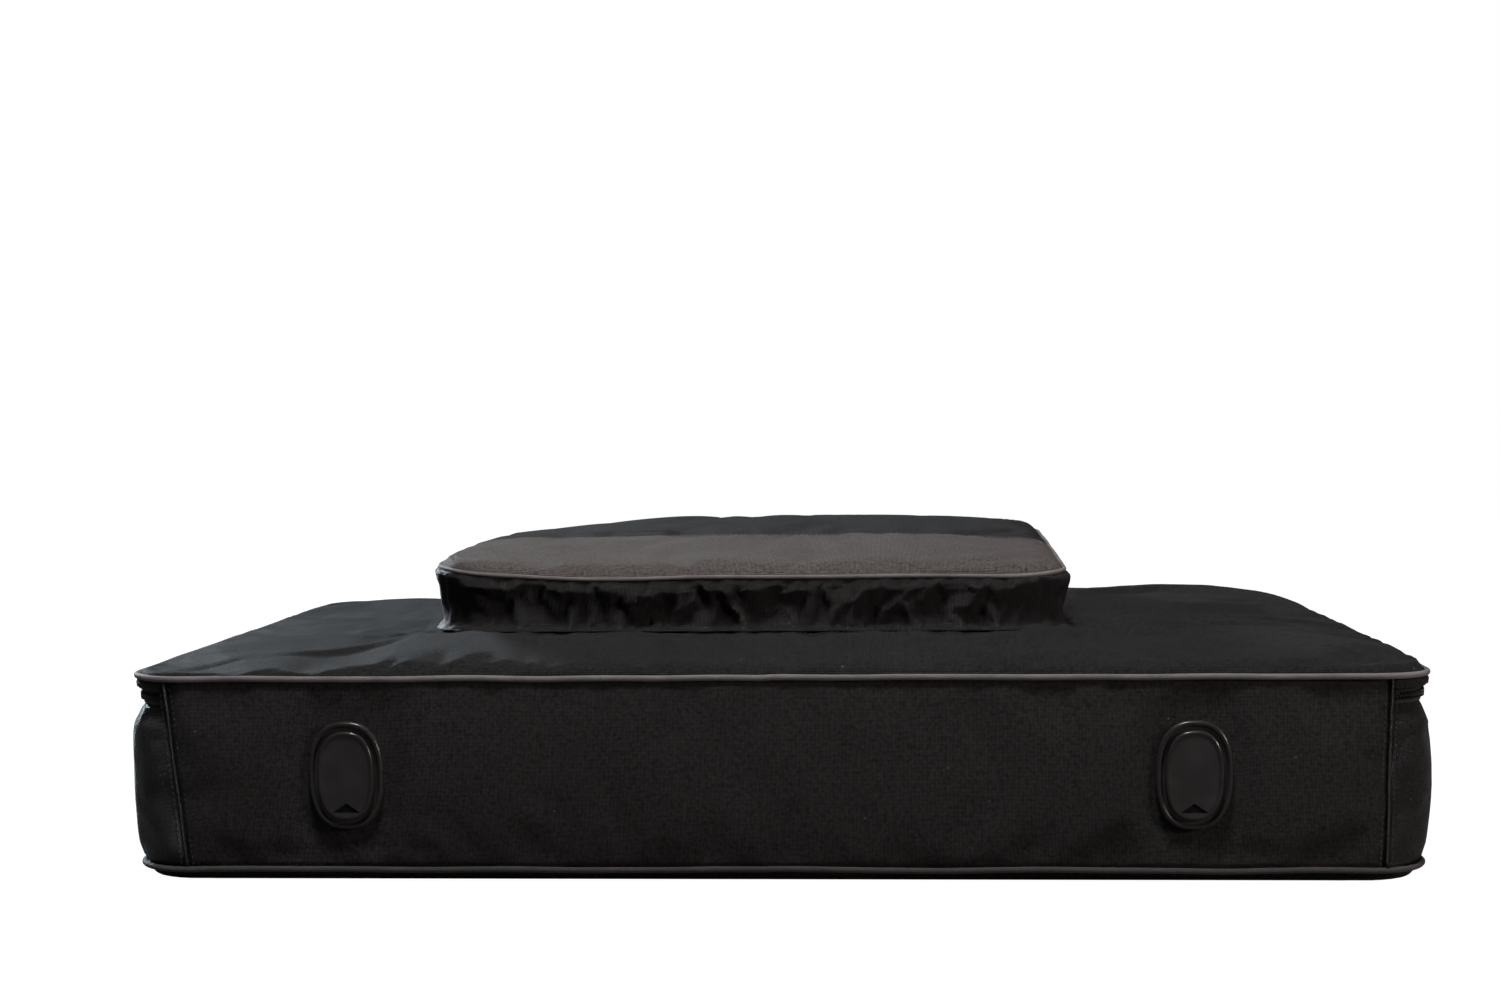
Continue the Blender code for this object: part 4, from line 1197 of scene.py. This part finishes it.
def pocket_wall(name, start, end, top):
    """Part of the pocket's limp wall, from the front panel up to a height under its piping."""
    count_u, count_v = round((end - start) / (3 * MM)) + 1, 19
    base_z = LID_TOP - 0.5 * MM

    def place(u, v):
        s = start + (end - start) * u
        foot, normal = POCKET_RING.at(s, 0.6 * MM)
        crest = POCKET_PLANE @ (POCKET_RING.at(s, 0.2 * MM)[0] + Vector((0, 0, top)))
        base = Vector((foot.x + POCKET_X, foot.y + POCKET_Y, base_z))
        point = base.lerp(crest, v)
        bulge = np.interp(v, *WALL_BULGE)
        flare = 4.5 * math.exp(-v / 0.055)
        loose = math.sin(math.pi * v) ** 0.6 if 0 < v < 1 else 0
        crush = 2.0 * noise.noise(Vector((s / 0.045 + v * 0.8, v * 1.3, 4.4)))
        crush += 2.0 * noise.noise(Vector((s / 0.021 - v * 0.9, v * 1.6, 9)))
        crush += 1.2 * noise.noise(Vector((s / 0.010, v * 3.0, 1)))
        return point + normal * MM * (flare - 0.6 + bulge + loose * crush)

    def uv(u, v):
        return start + (end - start) * u, v * 50 * MM

    sheet = cloth_grid(name, count_u, count_v, place, uv, ["gusset"])
    settle(sheet, borders(sheet), 0.035, cap=5 * MM, bending=0.05)
    return sheet


def make_pocket_walls():
    front = pocket_wall("pocket_wall_front", -POCKET_SIDE, POCKET_SIDE, -1.0 * MM)
    rear = pocket_wall("pocket_wall_rear", POCKET_SIDE + 0.5 * MM, POCKET_REST - 0.5 * MM, POCKET_ZIP_LOW)
    return front, rear


def finish_pocket_walls(walls):
    spans = (2 * POCKET_SIDE, POCKET_RING.length - 2 * POCKET_SIDE)
    replaced = (("pocket_gusset_top", "pocket_gusset"), ())
    for sheet, width, rise, nodes in zip(walls, spans, mm(53, 47), replaced):
        modifier = sheet.modifiers.new("thickness", "SOLIDIFY")
        modifier.thickness = 0.9 * MM
        modifier.offset = 0
        place_piece(sheet, "front_panel", "black_fabric", *nodes)


def bend_pocket(names):
    """Raises the pocket's near left corner, with its stiff piping, and lets its far corners droop."""
    top = POCKET_NEAR + 4 * MM - LID_TOP
    corner_x, corner_y = POCKET_X - POCKET_HX, POCKET_Y - POCKET_HY + 40 * MM
    for name in names:
        for vert in SCENE.objects[name].data.vertices:
            x, y, z = vert.co
            near = math.hypot(x - corner_x, (y - corner_y) * 0.8)
            along = (x - POCKET_X) / POCKET_HX
            change = 5.5 * math.exp(-((near / (70 * MM)) ** 2))
            if y < POCKET_Y:
                change -= 1.8 * math.exp(-(((along + 0.45) / 0.25) ** 2))
            droop = 10 * swell(-along, 0.2, 0.95) + 2 * swell(along, 0.4, 1.0)
            change -= swell(y, -20 * MM, 150 * MM) * droop
            vert.co.z += change * MM * swell(z - LID_TOP, 0, top)


def make_pocket_trim():
    """The pocket's zip, the flap's strip over it, and the rows of stitches."""
    start, end = POCKET_SIDE + 0.4 * MM, POCKET_REST - 0.4 * MM
    zip_run("pocket_zip", POCKET_RING, start, end, -ZIP_DROP, "front_panel", "pocket_flap", POCKET_PLANE)
    stations = ring_stations(
        POCKET_RING, start, end, 5 * MM, 0, plane=POCKET_PLANE, wobble=0.7 * MM, seed=21.0
    )
    strip = sweep("pocket_flap_strip_cloth", stations, STRIP_PROFILE, "flap", closed=False)
    place_piece(strip, "pocket_flap", "black_fabric", "pocket_flap_strip")

    up = POCKET_PLANE.to_3x3() @ Vector((0, 0, 1))
    half_x = POCKET_HX - 9 * MM
    height = pocket_height(True)
    seam_y = FLAP_Y - 3.2 * MM
    row = []
    for x in np.linspace(-half_x, half_x, 61):
        row.append((POCKET_PLANE @ Vector((x, seam_y, height(x, seam_y) + 0.25 * MM)), up, up))
    stitch_row("pocket_seam_stitches", row, "front_panel")

    row = []
    for s in np.linspace(0, POCKET_RING.length, 301):
        place, normal = POCKET_RING.at(s, -5.4 * MM)
        x, y = place.x + POCKET_X, place.y + POCKET_Y
        row.append((Vector((x, y, lid_height(x, y) + 0.3 * MM)), Vector((0, 0, 1)), normal))
    stitch_row("pocket_base_stitches", row, "front_panel")


# Feet


FOOT_SIDES = 72
FOOT_CAP_A, FOOT_CAP_B = 20.5 * MM, 32 * MM
RECESS_HALF, RECESS_FOOT, RECESS_TIP = 10 * MM, -26.6 * MM, -19.6 * MM
RECESS_FLOOR, CAP_TOP = 3.7 * MM, 4.85 * MM
# Profiles of (inset from the oval, height), in mm
FOOT_BASE_PROFILE = (
    (0.2, 0.0), (0.0, 0.8), (0.1, 2.0), (0.5, 3.1), (1.3, 3.8), (2.2, 4.0), (3.1, 3.7),
    (3.8, 2.9), (4.1, 2.2), (4.9, 1.9), (6.0, 1.9), (6.9, 1.9),
)
FOOT_CAP_PROFILE = (
    (0.0, 2.2), (0.0, 3.6), (0.25, 4.6), (0.8, 5.3), (1.5, 5.6), (2.3, 5.5), (3.1, 5.1), (3.7, 4.9),
    (4.6, 4.85), (7.5, 4.85),
)


def lofted_oval(name, half_a, half_b, profile, materials, gloss_inset):
    """An oval turned up from rings of (inset, height), glossy on the outer ones, flat across the last."""
    points = []
    for inset, height in profile:
        for k in range(FOOT_SIDES):
            t = 2 * math.pi * k / FOOT_SIDES
            reach = ((math.cos(t), half_a - inset * MM), (math.sin(t), half_b - inset * MM))
            a, b = (math.copysign(abs(turn) ** (2 / FOOT_POWER), turn) * half for turn, half in reach)
            points.append((a, b, height * MM))
    faces, _ = quads(len(profile), FOOT_SIDES, wrap_v=True)
    slots = [int(profile[k // FOOT_SIDES][0] < gloss_inset) for k in range(len(faces))]
    for first, inset in ((len(points) - FOOT_SIDES, profile[-1][0]), (0, profile[0][0])):
        faces.append(list(range(first, first + FOOT_SIDES)))
        slots.append(int(inset < gloss_inset))
    uvs = [points[index][:2] for face in faces for index in face]
    obj = mesh_object(name, points, faces, uvs, materials, slots)
    outwards(obj)
    return obj


def stand_on_wall(obj, x):
    """Turns a piece made flat so that its front faces out of the bottom wall, at this x."""
    turn = Matrix.Translation((x, -HY + 0.7 * MM, FOOT_Z)) @ Matrix.Rotation(math.pi / 2, 4, "X")
    obj.data.transform(turn)


def make_feet():
    """Oval feet: a beaded base, a raised cap with a glossy rim, and a triangular recess in it."""
    for side, x in (("left", FOOT_LEFT_X), ("right", FOOT_RIGHT_X)):
        base = lofted_oval(f"foot_{side}_bead", FOOT_A, FOOT_B, FOOT_BASE_PROFILE, ["plastic", "gloss"], 4)
        stand_on_wall(base, x)
        place_piece(base, "tray", "black_plastic", f"foot_base_{side}")

        finishes = ["plastic", "gloss", "recess"]
        cap = lofted_oval(f"foot_{side}_plate", FOOT_CAP_A, FOOT_CAP_B, FOOT_CAP_PROFILE, finishes, 3.6)
        prism = triangle_prism()
        cut = cap.modifiers.new("recess", "BOOLEAN")
        cut.operation = "DIFFERENCE"
        cut.object = prism
        apply_modifiers(cap)
        bpy.data.objects.remove(prism)
        paint_recess(cap)
        stand_on_wall(cap, x)
        cap.data.set_sharp_from_angle(angle=math.radians(38))
        place_piece(cap, "tray", "black_plastic", f"foot_cap_{side}")


def triangle_prism():
    """What is cut out of a foot's cap."""
    corners = [(-RECESS_HALF, RECESS_FOOT), (RECESS_HALF, RECESS_FOOT), (0.0, RECESS_TIP)]
    points = [(x, y, z) for z in (RECESS_FLOOR, 8 * MM) for x, y in corners]
    faces = [[2, 1, 0], [3, 4, 5], [0, 1, 4, 3], [1, 2, 5, 4], [2, 0, 3, 5]]
    uvs = [(0, 0) for face in faces for _ in face]
    return mesh_object("recess_cutter", points, faces, uvs, ["recess"])


def apply_modifiers(obj):
    graph = bpy.context.evaluated_depsgraph_get()
    made = bpy.data.meshes.new_from_object(obj.evaluated_get(graph))
    obj.modifiers.clear()
    obj.data = made


def paint_recess(cap):
    """Gives the floor and sides of the triangular recess a darker, duller material: painted shade, and a
    rougher surface.
    """
    slack = 0.1 * MM
    for polygon in cap.data.polygons:
        x, y, z = polygon.center
        across = abs(x) < RECESS_HALF + slack and RECESS_FOOT - slack < y < RECESS_TIP + slack
        if across and RECESS_FLOOR - slack < z < CAP_TOP - 0.1 * slack:
            polygon.material_index = 2


# Handle and small metal


GRIP_BEND = 22 * MM


def grip_path(end_x, y, low_z, top_z, bend):
    """A U: down from the left end, round a bend, along the bottom, round a bend and up."""
    arcs = []
    for side, start in ((-1, math.pi), (1, 1.5 * math.pi)):
        centre = Vector((side * (end_x - bend), y, low_z + bend))
        angles = [start + math.pi / 2 * k / 12 for k in range(13)]
        arcs.append([centre + bend * Vector((math.cos(angle), 0, math.sin(angle))) for angle in angles])
    straight = [Vector((x, y, low_z)) for x in np.linspace(bend - end_x, end_x - bend, 25)[1:-1]]
    return [Vector((-end_x, y, top_z)), *arcs[0], *straight, *arcs[1], Vector((end_x, y, top_z))]


def make_grip():
    """The rolled webbing grip, thinner at both ends, with two rows of stitches."""
    low, high = (Vector(corner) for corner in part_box("handle_grip"))
    radius = (high.y - low.y) / 2
    path = grip_path(high.x - radius, (low.y + high.y) / 2, low.z + radius, high.z, GRIP_BEND)
    stations = []
    for k, place in enumerate(path):
        run = (path[min(k + 1, len(path) - 1)] - path[max(k - 1, 0)]).normalized()
        out = Vector((0, 1, 0))
        near_end = min((place - path[0]).length, (place - path[-1]).length)
        size = 0.72 + 0.28 * swell(near_end, 4 * MM, 30 * MM)
        stations.append((place, out * size, run.cross(out) * size))
    profile = oval(radius, radius, 24)
    profile[1] = tuple(0.97 * along for along in profile[1])
    grip = sweep("handle_grip_wrap", stations, profile, "webbing", closed=False)
    place_piece(grip, "handle", "webbing", "handle_grip")
    for offset, side in ((-3.0, "low"), (3.0, "high")):
        row = [
            (place + out * radius * 0.94 + across * offset * MM, out.normalized(), across)
            for place, out, across in stations[4:-4]
        ]
        stitch_row(f"handle_grip_stitches_{side}", row, "handle")


def make_anchor_stitches(side):
    """A square of stitches that holds an anchor to the far wall."""
    low, high = (Vector(corner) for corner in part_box("handle_anchor_" + side))
    face = low.y + 2.2 * MM
    margin = 3 * MM
    x0, x1, z0, z1 = low.x + margin, high.x - margin, low.z + margin, high.z - margin
    corners = [Vector((x, face, z)) for x, z in ((x0, z0), (x1, z0), (x1, z1), (x0, z1), (x0, z0))]
    spots = [a.lerp(b, t) for a, b in zip(corners, corners[1:]) for t in (0, 0.25, 0.5, 0.75)]
    row = [(spot, Vector((0, 1, 0))) for spot in spots + corners[:1]]
    stitch_row(f"handle_anchor_{side}_stitches", row, "tray", 3.2 * MM, 2.3 * MM)


def paint(node, material):
    """Gives a CAD node that stays its finish."""
    slots = NODES[node].material_slots
    if not slots:
        NODES[node].data.materials.append(MATERIALS[material])
    for slot in slots:
        slot.material = MATERIALS[material]


def paint_small_pieces():
    """The finish of every CAD node that stays visible."""
    for name in ("main_left", "main_right", "pocket"):
        paint(name + "_slider", "metal")
        paint(name + "_link", "metal")
        paint(name + "_pull", "plastic")
    for side in ("left", "right"):
        paint("foot_backing_" + side, "plastic")
        paint("handle_anchor_" + side, "webbing")
        paint("handle_loop_" + side, "webbing")
        paint("handle_ring_" + side, "metal")
        for number in (1, 2):
            paint(f"foot_rivet_{side}_{number}", "metal")
    for name in ("back_binding", "front_binding"):
        paint(name, "tape")


def main():
    make_camera()
    make_studio()
    make_floor()
    lid = make_lid()
    bottom = make_bottom_wall()
    sides = make_side_wall()
    tops = make_pocket_top()
    walls = make_pocket_walls()
    run_cloths()
    finish_lid(lid)
    finish_wall(bottom, near_ends, WALL_HIGH, ("bottom_wall_cover", "bottom_wall_foam", "bottom_wall_lining"))
    finish_wall(sides, side_ends, SIDE_HIGH, ("side_wall_cover", "side_wall_foam", "side_wall_lining"))
    finish_pocket_top(tops)
    finish_pocket_walls(walls)
    make_back_panel()
    make_piping()
    make_case_zip()
    make_corner_seams()
    make_pocket_trim()
    bend_pocket(
        ["pocket_wall_front", "pocket_wall_rear", "pocket_flap_strip_cloth", "pocket_seam_stitches"]
        + [f"pocket_{half}_{piece}" for half in ("front", "flap") for piece in ("pad", "edge_piping")]
        + [f"pocket_zip_tape_{half}_cloth" for half in ("lower", "upper")]
        + [f"pocket_zip_coil_{half}_turns" for half in ("lower", "upper")]
    )
    make_feet()
    make_grip()
    for side in ("left", "right"):
        make_anchor_stitches(side)
    paint_small_pieces()


main()
